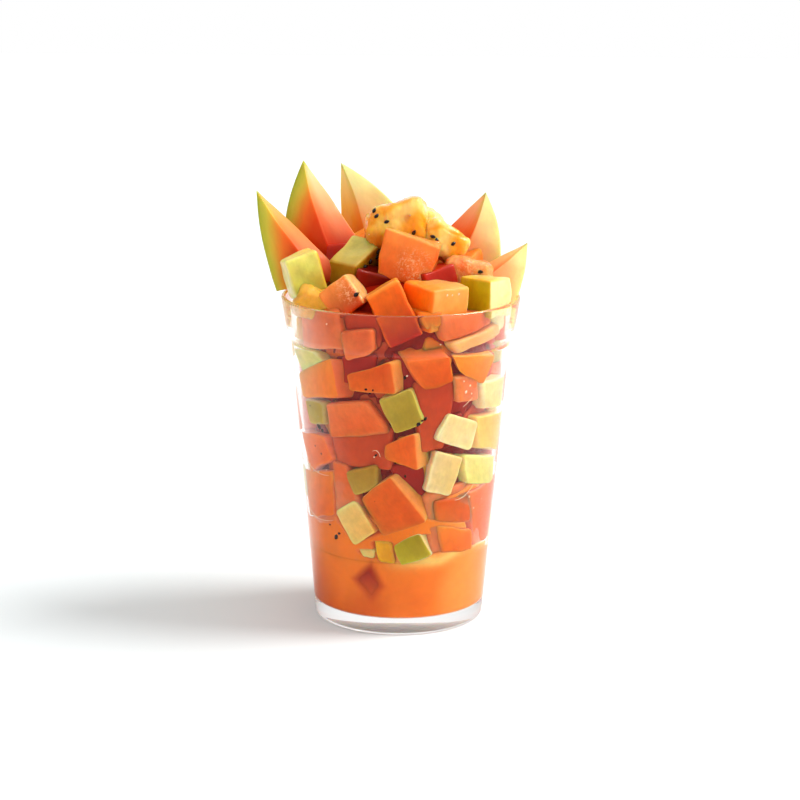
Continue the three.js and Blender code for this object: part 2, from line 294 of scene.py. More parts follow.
# %% [markdown]
# ## Clear glass
# Glass is a Principled shader with full transmission. Cycles would keep lamp light from going straight
# through it, and the fruit behind would go dark, so shadow rays and soft bounce light pass as if the
# wall were open.


# %% Glass finish
def clear_glass():
    r = Recipe("clear_glass")
    smear = r.noise(16, detail=2)
    glass = r.node(
        "ShaderNodeBsdfPrincipled", Base_Color=(0.985, 0.99, 0.99, 1), Roughness=0.0,
        IOR=1.45, Transmission_Weight=1.0, Normal=r.bump(smear, 0.05),
    )
    clear = r.node("ShaderNodeBsdfTransparent", Color=(0.97, 0.97, 0.97, 1)).outputs[0]
    for_lamps = r.for_rays("Is Shadow Ray", clear, glass.outputs[0])
    return r.finish(r.for_rays("Is Diffuse Ray", clear, for_lamps))


# %% The glass
def glass_profile():
    lip = LIP_THICKNESS / 2
    low_out, shoulder = (FOOT_RADIUS, FOOT_ROUNDING), (SHOULDER_RADIUS, SHOULDER_BOTTOM)
    collar = (COLLAR_RADIUS, COLLAR_BOTTOM)
    lip_out = (RIM_RADIUS, GLASS_HEIGHT - lip)
    step_low = (float(inside_radius(STEP_BOTTOM)), STEP_BOTTOM)
    step_high = (float(inside_radius(COLLAR_BOTTOM)), COLLAR_BOTTOM)
    floor_out = float(inside_radius(FLOOR_HEIGHT + FLOOR_ROUNDING))
    return [
        (0, 0),
        (FOOT_RADIUS - FOOT_ROUNDING - 4, 0),
        *arc(FOOT_RADIUS - FOOT_ROUNDING, FOOT_ROUNDING, FOOT_ROUNDING, -90, 0),
        *soften(low_out, shoulder, collar, 0.8),
        *soften(shoulder, collar, lip_out, 1.0),
        *arc(RIM_RADIUS - lip, GLASS_HEIGHT - lip, lip, 0, 180, steps=14),
        *soften(lip_out, step_high, step_low, 1.0),
        *soften(step_high, step_low, (floor_out, FLOOR_HEIGHT + FLOOR_ROUNDING), 1.0),
        *arc(floor_out - FLOOR_ROUNDING, FLOOR_HEIGHT + FLOOR_ROUNDING, FLOOR_ROUNDING, 0, -90),
        (0, FLOOR_HEIGHT),
    ]


GLASS_SEGMENTS = 160
glass = make_piece("glass_tumbler", *turned(glass_profile(), GLASS_SEGMENTS))
glass.data.materials.append(clear_glass())
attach(glass, "root")
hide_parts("glass")

# %% [markdown]
# ## Wet flesh
# All the cut fruit shares one recipe. The colour comes from the mesh: every piece stores its own, so a cube
# can be green at one side and cream at the other, and some stored colours carry painted light and shade. The
# recipe adds cloudy patches, fibres and fine grain. Subsurface light makes it look full of water, and a thin
# coat makes it look wet. Where a piece stores some painted glint, pale specks are painted on as glints of
# broken juice cells.


# %% Flesh finish
def wet_flesh(name, grain=1.2, grain_depth=0.04, fibre=0.04, reach=4.5, rough=0.4, wet=0.4):
    """Fruit flesh: width and depth of its grain in mm, fibres, how far light goes in, and its shine."""
    r = Recipe(name)
    r.place = r.attribute("cut_place", "Vector")
    flesh = r.attribute("flesh")
    patches = r.ramp(r.noise(4, detail=4, rough=0.6), (0.3, 0.88), (0.7, 1.08))
    strands = r.noise(0.9, detail=3, stretch=(1, 1, 0.3), twist=0.5)
    fibres = r.ramp(strands, (0.3, 1 - fibre), (0.7, 1 + fibre))
    cloudy = r.blend(1.0, flesh, patches, "MULTIPLY")
    fibrous = r.blend(1.0, cloudy, fibres, "MULTIPLY")
    # Painted glints: pale specks where a piece stores some.
    cells = r.ramp(r.noise(1.0, detail=3, twist=1.2), (0.5, 0.0), (0.66, 0.85))
    sparkle = r.maths("MULTIPLY", cells, r.attribute("painted_glint", "Fac"))
    relief = r.bump(r.noise(grain, detail=3), grain_depth, r.bump(r.noise(4.5, detail=2), 0.2))
    shader = r.node(
        "ShaderNodeBsdfPrincipled", Base_Color=r.blend(sparkle, fibrous, colour(255, 196, 138)),
        IOR=1.38, Specular_IOR_Level=0.25, Normal=relief,
        Roughness=r.ramp(r.noise(2.5), (0.3, rough - 0.1), (0.7, rough + 0.15)),
        Subsurface_Weight=0.9, Subsurface_Scale=reach * MM, Subsurface_Radius=(1.0, 0.38, 0.12),
        Coat_Weight=wet, Coat_Roughness=0.1, Coat_IOR=1.33,
    )
    return r.finish(shader.outputs[0])


# %% Kinds of fruit
# Some kinds are painted light and shade, not fruit colours: the dark reds (shaded, deep and the brick red)
# are painted shade for cubes in gaps and behind others, and the sunlit and apricot tints are painted light
# for faces turned to the lamp.
FLESH = {  # two tints, from one side of a cube to the other
    "papaya": (colour(240, 90, 14), colour(245, 118, 44)),
    "salmon": (colour(236, 104, 44), colour(242, 130, 72)),
    "orange": (colour(240, 108, 14), colour(250, 146, 50)),
    "lit_apricot": (colour(246, 140, 54), colour(250, 168, 90)),
    "sunlit": (colour(252, 168, 92), colour(254, 188, 118)),
    "rust": (colour(222, 84, 12), colour(232, 104, 28)),
    "shade_brick": (colour(198, 54, 12), colour(216, 80, 28)),
    "peach": (colour(240, 176, 80), colour(248, 202, 116)),
    "cream": (colour(232, 198, 122), colour(240, 210, 150)),
    "pale_green": (colour(206, 188, 84), colour(224, 208, 124)),
    "green": (colour(174, 144, 40), colour(200, 170, 74)),
    "olive": (colour(164, 118, 30), colour(184, 144, 56)),
    "lime": (colour(158, 132, 8), colour(188, 166, 30)),
    "amber": (colour(220, 134, 6), colour(236, 164, 26)),
    "deep": (colour(150, 16, 3), colour(178, 30, 6)),
    "shaded": (colour(112, 6, 1), colour(140, 16, 3)),
}
FAMILY_OF = {
    "papaya": "papaya", "salmon": "papaya", "deep": "papaya", "shaded": "papaya", "shade_brick": "papaya",
    "orange": "melon", "lit_apricot": "melon", "sunlit": "melon", "rust": "melon", "peach": "melon",
    "cream": "green", "pale_green": "green", "green": "green", "olive": "green", "lime": "green",
    "amber": "golden",
}
SLOT_OF = {"papaya": "papaya_flesh", "melon": "orange_melon", "green": "green_melon", "golden": "golden_kiwi"}
finishes = {
    "papaya": wet_flesh("papaya_flesh", grain=0.9, grain_depth=0.045),
    "melon": wet_flesh("orange_melon_flesh", grain=1.6),
    "green": wet_flesh("green_melon_flesh", grain=1.8),
    "golden": wet_flesh(
        "golden_kiwi_pulp", grain=1.4, grain_depth=0.05, fibre=0.06, reach=5, rough=0.25, wet=1.0,
    ),
}
# Fruit behind the glass has no coat of its own: the glass already shines in front of it.
packed_finishes = {family: wet_flesh(f"packed_{family}_flesh", grain=1.8, wet=0.0) for family in SLOT_OF}

# %% [markdown]
# ## A hand-cut cube
# A knife leaves flat faces, slightly rounded edges and corners that are never quite square. A cube
# with a Bevel modifier is too regular. Here a grid wraps the cube's skin, closer near the edges. The
# edges are rounded by a true radius, the corners are moved as in the CAD model, and slow waves make
# the faces swell a little.


# %% Cube skin
def cube_skin(middle, edge, near_steps=3):
    """Grid points from -1 to 1 on a cube's skin, and its faces. edge is the share near each edge."""
    near = np.linspace(0, edge, near_steps + 1)[:-1]
    steps = np.concatenate([-1 + near, np.linspace(-1 + edge, 1 - edge, middle + 1), (1 - near)[::-1]])
    n = len(steps) - 1
    a, b = np.meshgrid(np.arange(n + 1), np.arange(n + 1), indexing="ij")
    points, faces = [], []
    for axis in range(3):
        for side in (0, n):
            grid = np.zeros((n + 1, n + 1, 3), int)
            grid[..., axis] = side
            grid[..., (axis + 1) % 3] = a
            grid[..., (axis + 2) % 3] = b
            start = sum(len(p) for p in points)
            index = start + np.arange((n + 1) ** 2).reshape(n + 1, n + 1)
            quad = [index[:-1, :-1], index[1:, :-1], index[1:, 1:], index[:-1, 1:]]
            if side == 0:
                quad.reverse()
            points.append(grid.reshape(-1, 3))
            faces.append(np.stack([q.ravel() for q in quad], axis=1))
    lattice, same = np.unique(np.concatenate(points), axis=0, return_inverse=True)
    return steps[lattice], same.ravel()[np.concatenate(faces)]


def uneven_corners(seed, unevenness=0.07):
    """How far each of the eight corners is moved, as shares of the half size, as in the CAD model."""
    stream = numbers_from(seed)
    return np.array([[mix(-unevenness, unevenness, next(stream)) for _ in range(3)] for _ in range(8)])


def corner_weight(skin, signs):
    """How much each point follows one corner: 1 at that corner, 0 at the others."""
    return np.prod((1 + np.array(signs) * skin) / 2, axis=1)[:, None]


def cut_cube(size, seed, rounding=0.9, middle=9, swell=0.22, wave=9, near_steps=3):
    """Points in mm round the cube's middle, faces, and each point's place in the cube from -1 to 1."""
    half = np.array(size) / 2
    skin, faces = cube_skin(middle, rounding / half.mean(), near_steps)
    inner = np.clip(skin * half, -(half - rounding), half - rounding)
    out = skin * half - inner
    normal = out / np.maximum(np.linalg.norm(out, axis=1, keepdims=True), 1e-9)
    points = inner + normal * rounding
    corners = uneven_corners(seed)
    shift = np.zeros_like(points)
    for index in range(8):
        signs = [1 if (index >> axis) & 1 else -1 for axis in range(3)]
        shift += corner_weight(skin, signs) * signs * corners[index] * half
    points = points + shift + normal * (swell * slow_waves(points, seed, wave))[:, None]
    return points, faces, skin


# %% Turns and soft steps
def turned_by(*turns):
    """A matrix for turns given as (degrees, axis), the first one made first."""
    matrix = Matrix.Identity(3)
    for angle, axis in turns:
        matrix = Matrix.Rotation(math.radians(angle), 3, axis) @ matrix
    return np.array(matrix)


def smooth_step(low, high, value):
    share = np.clip((value - low) / (high - low), 0, 1)
    return share * share * (3 - 2 * share)


# %% [markdown]
# ## Collecting small pieces
# Nearly two hundred cubes as objects of their own would be slow and hard to handle. Each family of
# fruit is one mesh, gathered piece by piece, and still every cube has its own shape and colour. Light
# shines through thin parts, so the edges of each cube are a little paler than its faces.


# %% Basket
class Basket:
    """Pieces of one kind, gathered into one mesh."""

    def __init__(self):
        self.points, self.faces, self.flesh, self.places, self.count = [], [], [], [], 0

    def add(self, points, faces, flesh, place):
        self.faces.append(np.asarray(faces) + self.count)
        self.points.append(points)
        self.flesh.append(flesh)
        self.places.append(place * MM)
        self.count += len(points)

    def piece(self, name):
        attributes = {"flesh": np.concatenate(self.flesh), "cut_place": np.concatenate(self.places)}
        return make_piece(name, np.concatenate(self.points) * MM, np.concatenate(self.faces), attributes)


# %% Colour and limits of a cube
PALER_TIMES, PALER_PLUS = [1.08, 1.45, 2.0, 1], [0.04, 0.03, 0.01, 0]  # of flesh that is lit through


def flesh_of(kind, skin, seed, paler_edge=0.3):
    """Each point's colour: from one side of the cube to the other, a little different in each cube."""
    low, high = (np.array(c) for c in FLESH[kind])
    stream = numbers_from(seed + 7)
    direction = np.array([next(stream) - 0.5 for _ in range(3)])
    direction /= np.linalg.norm(direction)
    share = np.clip(0.5 + 0.45 * (skin @ direction), 0, 1)[:, None]
    colours = mix(low, high, share) * mix(0.95, 1.05, next(stream))
    edge = smooth_step(0.7, 1.0, np.sort(np.abs(skin), axis=1)[:, 1])[:, None]
    colours = mix(colours, colours * PALER_TIMES + PALER_PLUS, paler_edge * edge)
    return np.clip(colours * [1, 1, 1, 0] + [0, 0, 0, 1], 0, 1)


def pressed(points, give):
    """Points that would stand through the glass are pushed back to a little way into its wall."""
    radius = np.hypot(points[:, 0], points[:, 1])
    limit = np.where(points[:, 2] < GLASS_HEIGHT + 0.5, inside_radius(points[:, 2]) + give, 1e9)
    result = points.copy()
    result[:, :2] *= np.minimum(1, limit / np.maximum(radius, 1e-9))[:, None]
    result[:, 2] = np.maximum(result[:, 2], FLOOR_HEIGHT - give)
    return result


# %% [markdown]
# ## The fruit that shows through the glass
# Each row is one cube against the wall: its kind, then the corners of its face on the glass, upper left,
# upper right, lower right and lower left, as degrees round the glass from the front and millimetres up. Next
# comes how far it presses on the wall, where a minus leaves it behind the others; the dark reds among those
# are painted shade. A cube with a second kind shows a side face too: the last numbers say how far its back is
# shifted, in degrees and millimetres, and how deep it goes. The side's kind is mostly a lighter one than the
# front's: painted light on a side turned to the lamp.

# %% Fruit on the wall, front
FRONT_FRUIT = [
    ("shade_brick", [(-38, 123), (-12, 123), (-12, 111), (-38, 112)], -2.6),
    ("deep", [(-35, 107), (-14, 109), (-16, 97), (-34, 97)], -1.8),
    ("deep", [(-4, 110), (9, 107), (15, 96), (0, 95)], -2.6),
    ("deep", [(-7, 67), (15, 66), (17, 54), (2, 56)], -2.2),
    ("shade_brick", [(-46, 78), (-6, 81), (-6, 65), (-42, 65)], -1.4),
    ("shade_brick", [(7, 98), (34, 100), (27, 72), (12, 72)], -1.4),
    ("salmon", [(15, 56), (46, 58), (46, 30), (20, 32)], -1.0),
    ("salmon", [(-70, 121.5), (-36, 124), (-31, 110), (-63, 107.5)], 0.2),
    ("orange", [(8, 125), (23, 124.5), (22, 119.5), (14, 117.5)], 0.1),
    ("salmon", [(20, 123), (53, 122.5), (58, 117), (23, 113.3)], 0.2),
    ("sunlit", [(26, 113), (64, 117.2), (67, 112.4), (31, 108.6)], 0.4),
    ("salmon", [(-34, 116.5), (-14, 118.4), (-13.5, 110.5), (-30, 106)], 0.5),
    ("cream", [(57, 123), (80, 122), (80, 112), (63, 113)], 0.2),
    ("pale_green", [(-78, 106), (-52, 108), (-45, 104.5), (-63, 97)], 0.4),
    ("salmon", [(29.4, 101), (45.5, 100.5), (49, 90), (33, 90)], 0.2),
    (("orange", "lit_apricot"), [(27.4, 109), (61, 106), (50, 95), (32, 102)], 0.7, (6, 0.5), 8),
    (("orange", "salmon"), [(-71, 97), (-40, 107.5), (-36.5, 91.5), (-69, 88)], 0.8, (9, -1), 8),
    (("rust", "lit_apricot"), [(-30, 101), (-5.2, 107.2), (-3.8, 94), (-30, 95)], 1.1, (11, 1.5), 8),
    (("rust", "papaya"), [(4.6, 106), (27.4, 108.2), (31.4, 98), (12.7, 95.4)], 1.5, (-7, 6), 9),
    ("cream", [(50, 97), (78, 96), (77, 84), (53.5, 85.5)], 0.5),
    ("green", [(-66, 88), (-46, 89), (-47, 79.7), (-62, 79)], 0.5),
    ("salmon", [(-45, 88.4), (-19.5, 91.8), (-4.6, 79.5), (-44.4, 75.2)], 0.6),
    (("green", "pale_green"), [(-12.6, 92.3), (5.7, 97), (12.6, 84.2), (-3.5, 78.8)], 1.0, (4, 1), 7),
    ("peach", [(47, 84.2), (82, 82), (80, 66), (51, 70.5)], 0.4),
    ("cream", [(27.8, 86.7), (49.8, 81.3), (46.1, 70.2), (19.7, 76.9)], 0.8),
    ("papaya", [(-76, 74), (-49, 76), (-41, 67), (-66, 59)], 0.5),
    (("rust", "lit_apricot"), [(-9.8, 75.2), (7, 80.3), (9.6, 65.4), (-9.6, 69.6)], 1.0, (13, 1), 7),
    ("olive", [(-35.4, 63.6), (-14, 67.5), (-12.7, 58.5), (-28, 54.5)], 0.5),
    ("pale_green", [(40, 69.7), (74, 65.5), (77, 53), (43, 58)], 0.6),
    ("cream", [(21.2, 72.8), (40, 69), (32, 53.6), (15, 56.9)], 0.9),
    ("salmon", [(-43, 67), (-32, 66), (-24, 50), (-44, 46)], 0.2),
    ("orange", [(-80, 58), (-42, 63), (-44, 45), (-75, 40)], 0.5),
    ("salmon", [(45, 55), (84, 58), (80, 31), (56, 31)], 0.3),
    ("papaya", [(21, 53.3), (47.8, 54), (52.5, 41), (22, 45)], 0.4),
    ("orange", [(23, 44), (51, 39.5), (55.3, 30.7), (28, 31.8)], 0.5),
    ("amber", [(-16, 38), (-4.5, 38), (-2, 28), (-13.6, 29)], 0.3),
    ("peach", [(-28, 34), (-16, 34.5), (-16, 29.6), (-24, 30.5)], 0.3),
    ("peach", [(-43.7, 46.9), (-27.4, 53.1), (-13.9, 40.5), (-29.7, 34.6)], 1.0),
    (("rust", "lit_apricot"), [(-25.4, 53.3), (-7, 63), (15.6, 44.8), (-11, 38.8)], 1.3, (10, 4.5), 7),
    (("lime", "cream"), [(-5.4, 35.8), (12.3, 41.3), (20.6, 31.5), (-0.3, 27.9)], 1.0, (7.5, 0.5), 6),
]
# %% Blocks on the wall
# Fruit reaches this far into the wall, in mm. Each later piece in front reaches a little further, so
# that no two share a surface.
GIVE, GIVE_STEP = 0.12, 0.006
BACK_SHARE = 0.94  # size of a cube's back face against its front face


def on_wall(sideways, inward, up, centre, give):
    """Points laid round the inside of the glass: mm along the wall, mm in from it, and height."""
    radius = float(inside_radius(min(centre[1], STEP_BOTTOM)))
    around, facing = sideways / radius, math.radians(centre[0])
    reach = inside_radius(np.minimum(up, STEP_BOTTOM))
    x = reach * np.sin(around) - inward * math.sin(facing)
    y = -reach * np.cos(around) + inward * math.cos(facing)
    squeeze = np.minimum(1, (inside_radius(up) + give) / np.maximum(np.hypot(x, y), 1e-9))
    return np.column_stack([x * squeeze, y * squeeze, np.maximum(up, FLOOR_HEIGHT - give)])


def wall_block(kinds, corners, press, shift, depth, number, give, middle, rounding=1.5):
    """One cube against the wall: points, faces, colours, and a place of its own in the grain."""
    front, sides = kinds if isinstance(kinds, tuple) else (kinds, kinds)
    corners = np.array(corners, float)
    centre = corners.mean(axis=0)
    millimetres = [math.radians(1) * float(inside_radius(min(centre[1], STEP_BOTTOM))), 1]
    face = corners * millimetres
    back = face.mean(axis=0) + BACK_SHARE * (face - face.mean(axis=0)) + np.array(shift) * millimetres
    width = np.linalg.norm(face[1] - face[0]) / 2 + np.linalg.norm(face[2] - face[3]) / 2
    height = np.linalg.norm(face[0] - face[3]) / 2 + np.linalg.norm(face[1] - face[2]) / 2
    size = np.array([width, depth, height])
    points, faces, skin = cut_cube(size, 100 + number, rounding=rounding, middle=middle)
    across, inward, up = ((1 + 2 * points / size) / 2).T[:, :, None]
    show, far = (mix(mix(q[3], q[2], across), mix(q[0], q[1], across), up) for q in (face, back))
    flat = mix(show, far, inward)
    laid = on_wall(flat[:, 0], inward[:, 0] * depth - press, flat[:, 1], centre, give)
    side = smooth_step(-0.96, -0.7, skin[:, 1])[:, None]
    flesh = mix(flesh_of(front, skin, number), flesh_of(sides, skin, number), side)
    return laid, faces, flesh, points + 40 * number


# %% Pack the front
baskets = {family: Basket() for family in SLOT_OF}
outlines, taken = [], []  # for the pulp, and for the cubes at the back
for number, (kinds, corners, press, *side) in enumerate(FRONT_FRUIT):
    shift, depth = side or ((0, 0), 12)
    block = wall_block(kinds, corners, press, shift, depth, number, GIVE + GIVE_STEP * number, 12)
    family = FAMILY_OF[kinds[0] if isinstance(kinds, tuple) else kinds]
    baskets[family].add(*block)
    outlines.append((block[0], press))
    taken.append((family, *np.mean(corners, axis=0)))

# %% [markdown]
# ## The sides and the back
# Nobody packs the back of a glass by plan, so here chance does it: staggered rows of cubes, each
# shifted, sized and turned by a repeatable random stream. Only the kind isn't left to chance. A family
# is one mesh, and soft light goes dark where two parts of one mesh overlap, so kin are kept apart.

# %% Fruit on the wall, sides and back
BACK_ROWS = (37, 51, 65, 79, 93, 106, 117)
BACK_PER_ROW = 9
BACK_FROM, BACK_TO = 92, 270
BACK_KINDS = (
    "orange", "papaya", "green", "salmon", "rust", "cream",
    "papaya", "peach", "salmon", "orange", "pale_green",
)
KIN_DEGREES, KIN_HEIGHT = 27, 16  # nearer than this, two cubes may overlap


def square_on(middle_angle, height, width, tall, lean):
    """Corners of a leaning face round a middle, for a block on the wall."""
    turn = math.radians(lean)
    degrees = math.degrees(1 / float(inside_radius(min(height, STEP_BOTTOM))))
    corners = []
    for right, up in ((-1, 1), (1, 1), (1, -1), (-1, -1)):
        x, z = right * width / 2, up * tall / 2
        x, z = x * math.cos(turn) + z * math.sin(turn), z * math.cos(turn) - x * math.sin(turn)
        corners.append((middle_angle + x * degrees, height + z))
    return corners


def next_to_kin(kind, angle, height):
    """Whether a cube of the same family is so near that the two would overlap."""
    for kin, kin_angle, kin_height in taken:
        apart = abs((angle - kin_angle + 180) % 360 - 180)
        if kin == FAMILY_OF[kind] and apart < KIN_DEGREES and abs(height - kin_height) < KIN_HEIGHT:
            return True
    return False


# %% Pack the sides and the back
# Neighbours take turns between four depths in the wall, further apart than their flat faces sag.
BACK_GIVE, BACK_GIVE_STEP = 0.4, 0.035
chance = np.random.default_rng(5)
number = len(FRONT_FRUIT)
for row, height in enumerate(BACK_ROWS):
    for column in range(BACK_PER_ROW):
        along = (column + 0.5 * (row % 2) + chance.uniform(-0.15, 0.15)) / (BACK_PER_ROW - 0.5)
        first = (number * 7 + row) % len(BACK_KINDS)
        choices = [*BACK_KINDS[first:], *BACK_KINDS[:first], "amber"]
        width, tall = chance.uniform((12, 11), (18, 16))
        lean, press = chance.uniform(-24, 24), chance.uniform(0.6, 1.2)
        shift = chance.uniform((-9, -4), (9, 4))
        angle, middle_height = mix(BACK_FROM, BACK_TO, along), height + chance.uniform(-2, 2)
        kind = next((kind for kind in choices if not next_to_kin(kind, angle, middle_height)), choices[0])
        corners = square_on(angle, middle_height, width, tall, lean)
        give = BACK_GIVE + BACK_GIVE_STEP * (2 * (row % 2) + column % 2)
        block = wall_block(kind, corners, press, shift, 10, number, give, 6)
        baskets[FAMILY_OF[kind]].add(*block)
        outlines.append((block[0], press))
        taken.append((FAMILY_OF[kind], angle, middle_height))
        number += 1
print("cubes on the wall:", number)

# %% [markdown]
# ## The second layer
# Gaps between the outer cubes show more fruit behind them, deep in shade. Most of them take dark red kinds,
# painted shade on top of the real shade.

# %% Fruit behind the wall layer
DEEP_KINDS = ("shade_brick", "rust", "deep", "papaya", "shade_brick", "orange", "deep")
DEEP_PER_ROW = 14
for height in range(50, 120, 12):
    for column in range(DEEP_PER_ROW):
        kind = DEEP_KINDS[number % len(DEEP_KINDS)]
        angle = 360 * (column + chance.uniform(0.1, 0.9)) / DEEP_PER_ROW
        corners = square_on(angle, height + chance.uniform(-4, 4), 13, 12, chance.uniform(-40, 40))
        block = wall_block(kind, corners, chance.uniform(-4.4, -3.0), (0, 0), 10, number, BACK_GIVE, 4)
        baskets[FAMILY_OF[kind]].add(*block)
        number += 1
print("with the second layer:", number)

for family, basket in baskets.items():
    packed = basket.piece("packed_" + family)
    packed.data.materials.append(packed_finishes[family])
    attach(packed, "root")
    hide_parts("mixed_fruit")

# %% [markdown]
# ## The mound behind the show side
# The cubes at the back of the mound hold the slices up. They follow the CAD heap's uneven outline.

# %% Fruit in the mound
# The two deep cubes are dark red, painted shade for the gaps they fill.
MOUND_FRUIT = [  # kind, middle and size
    ("orange", (-32, 14, 127), 17),
    ("green", (-20, 31, 125), 16),
    ("papaya", (-1, 35, 127), 17),
    ("orange", (19, 29, 126), 17),
    ("green", (34, 14, 125), 15),
    ("deep", (-19, 5, 134), 15),
    ("orange", (-8, 15, 140), 17),
    ("salmon", (9, 20, 139), 16),
    ("orange", (23, 8, 131), 15),
    ("deep", (12, -13, 130), 14),
]
mound = {family: Basket() for family in SLOT_OF}
for index, (kind, place, size) in enumerate(MOUND_FRUIT):
    stream = numbers_from(300 + index)
    turn = [50 * (next(stream) - 0.5), 50 * (next(stream) - 0.5), 90 * next(stream)]
    points, faces, skin = cut_cube((size, 0.9 * size, 0.95 * size), 400 + index)
    laid = points @ turned_by(*zip(turn, "XYZ")).T + place
    mound[FAMILY_OF[kind]].add(pressed(laid, GIVE), faces, flesh_of(kind, skin, 400 + index), points)

for family in ("papaya", "melon", "green"):
    mound_piece = mound[family].piece("mound_" + family)
    mound_piece.data.materials.append(finishes[family])
    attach(mound_piece, "root")
    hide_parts("mixed_fruit")

# %% [markdown]
# ## Orange juice
# Fresh juice is cloudy: light goes in a few millimetres and comes back orange. So it is a solid with a soft
# subsurface glow, not a clear liquid. It reaches a tenth of a millimetre into the wall, since a gap of air
# there would show as a mirror. Its colour is stored in the mesh: pale froth at the level on one side, painted
# light that makes it brighter towards the right, painted shade that makes it a deeper orange low down on the
# left, and a pale underside painted as light coming up through the foot.


# %% The unrolled wall
UNROLL_RADIUS = 36.0  # of the inside, about halfway up


def angle_of(points):
    """Degrees round the glass from the front, to the right."""
    return np.degrees(np.arctan2(points[:, 0], -points[:, 1]))


def inside_outline(sideways, up, outline):
    """How far points lie outside a piece's outline on the unrolled wall, in mm. Inside it is negative."""
    hull = [outline[i] for i in geometry.convex_hull_2d([Vector(p) for p in outline])]
    distance = np.full(len(up), -1e9)
    middle = np.mean(hull, axis=0)
    for start, end in zip(hull, hull[1:] + hull[:1]):
        edge = np.array(end) - start
        out = np.array([edge[1], -edge[0]]) / max(np.linalg.norm(edge), 1e-9)
        if out @ (middle - start) > 0:
            out = -out
        distance = np.maximum(distance, (sideways - start[0]) * out[0] + (up - start[1]) * out[1])
    return distance


def unrolled(angles, heights, facing):
    """The wall unrolled to a flat sheet in mm, with one direction in its middle."""
    return np.column_stack([np.radians((angles - facing + 180) % 360 - 180) * UNROLL_RADIUS, heights])


# %% Juice colour
SUNK_CORNERS = [(-32, 21.5), (-18, 29), (-9, 19.5), (-18.5, 12.5)]  # of a piece that lies in the juice


def juice_colour(points):
    """Colour at each point: orange, with painted shade low on the left and painted light to the right, froth,
    red over the sunk piece, and a painted-light underside.
    """
    angle, height = angle_of(points), points[:, 2]
    sideways = np.degrees(np.sin(np.radians(angle)))  # like the angle in front, and back to 0 behind
    base, low, bright, froth = (np.array(colour(*c)) for c in (
        (242, 120, 30), (220, 94, 12), (252, 142, 56), (254, 196, 104)
    ))
    drift = 14 * slow_waves(points, 31, 26)
    # Painted shade makes it deeper low on the left, and painted light makes it brighter to the right.
    shade_low_left = smooth_step(26, 8, height + 0.2 * drift) * smooth_step(12, -38, sideways + drift)
    colours = mix(base, low, shade_low_left[:, None])
    colours = mix(colours, bright, smooth_step(10, 52, sideways + drift)[:, None])
    level = 29.5 + 0.02 * (sideways - 20) + 0.10 * drift + 4 * smooth_step(20, 56, sideways)
    band = np.exp(-((height - level) / 2.4) ** 2) * smooth_step(-16, 16, sideways)
    colours = mix(colours, froth, 0.85 * band[:, None])
    sunk_at = np.mean(SUNK_CORNERS, axis=0)
    outline = unrolled(*np.array(SUNK_CORNERS).T, sunk_at[0]).tolist()
    away = inside_outline(*unrolled(angle, height, sunk_at[0]).T, outline)
    here = smooth_step(1.6, -2.2, away) * (np.abs(angle - sunk_at[0]) < 40) * (points[:, 1] < 0)
    red_low, red_high = np.array(colour(204, 74, 8)), np.array(colour(160, 16, 0))
    red = mix(red_low, red_high, smooth_step(16, 26, height)[:, None])
    colours = mix(colours, red, 0.95 * here[:, None])
    # Painted light: the underside is painted pale, as if lit through the foot.
    painted_foot_light = np.array(colour(252, 232, 222))  # the underside, where light comes up through the foot
    return mix(colours, painted_foot_light, smooth_step(FLOOR_HEIGHT + 0.6, FLOOR_HEIGHT + 0.1, height)[:, None])


# %% Juice finish
def cloudy_liquid(name, rough, reach):
    """Liquid full of pulp. Light goes in about reach mm."""
    r = Recipe(name)
    clouds = r.ramp(r.noise(14, detail=3, twist=0.8), (0.3, 0.93), (0.7, 1.04))
    shreds = r.ramp(r.noise(1.6, detail=3), (0.35, 0.97), (0.65, 1.03))
    cloudy = r.blend(1.0, r.attribute("flesh"), clouds, "MULTIPLY")
    shader = r.node(
        "ShaderNodeBsdfPrincipled", Base_Color=r.blend(1.0, cloudy, shreds, "MULTIPLY"),
        IOR=1.34, Specular_IOR_Level=0.1, Roughness=rough,
        Subsurface_Weight=0.5, Subsurface_Scale=reach * MM, Subsurface_Radius=(1.0, 0.4, 0.15),
        Normal=r.bump(r.noise(1.5, detail=3), 0.08),
    )
    return r.finish(shader.outputs[0])


# %% Juice in the glass
def juice_body():
    """A turned solid that fills the bottom of the glass up to the juice level."""
    give = 0.09  # mm into the wall
    corner = float(inside_radius(FLOOR_HEIGHT + FLOOR_ROUNDING)) - FLOOR_ROUNDING
    levels = [*np.linspace(FLOOR_HEIGHT + FLOOR_ROUNDING + 1, JUICE_LEVEL - 0.4, 30), JUICE_LEVEL - 0.1]
    level_radius = float(inside_radius(JUICE_LEVEL))
    profile = [
        (0, FLOOR_HEIGHT - give),
        *[(corner * share, FLOOR_HEIGHT - give) for share in (0.25, 0.5, 0.75)],
        *arc(corner, FLOOR_HEIGHT + FLOOR_ROUNDING, FLOOR_ROUNDING + give, -90, 0),
        *[(float(inside_radius(z)) + give, z) for z in levels],
        *[(level_radius * share, JUICE_LEVEL) for share in (1.0, 0.98, 0.7, 0.4)],
        (0, JUICE_LEVEL),
    ]
    return turned(profile, GLASS_SEGMENTS)


juice_points, juice_faces = juice_body()
juice = make_piece("orange_juice", juice_points, juice_faces, {"flesh": juice_colour(juice_points / MM)})
juice.data.materials.append(cloudy_liquid("cloudy_orange_juice", 0.3, 4))
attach(juice, "root")
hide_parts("juice")

# %% [markdown]
# ## Pulp between the cubes
# Above the level sits wet pulp. It fills the gaps out to the glass up to an uneven wet line, and draws back
# where a cube is pressed against the wall. Higher up it leaves air between the cubes, and its colour is
# painted dark red as shade in the gaps. It is one core that hides the middle of the glass.

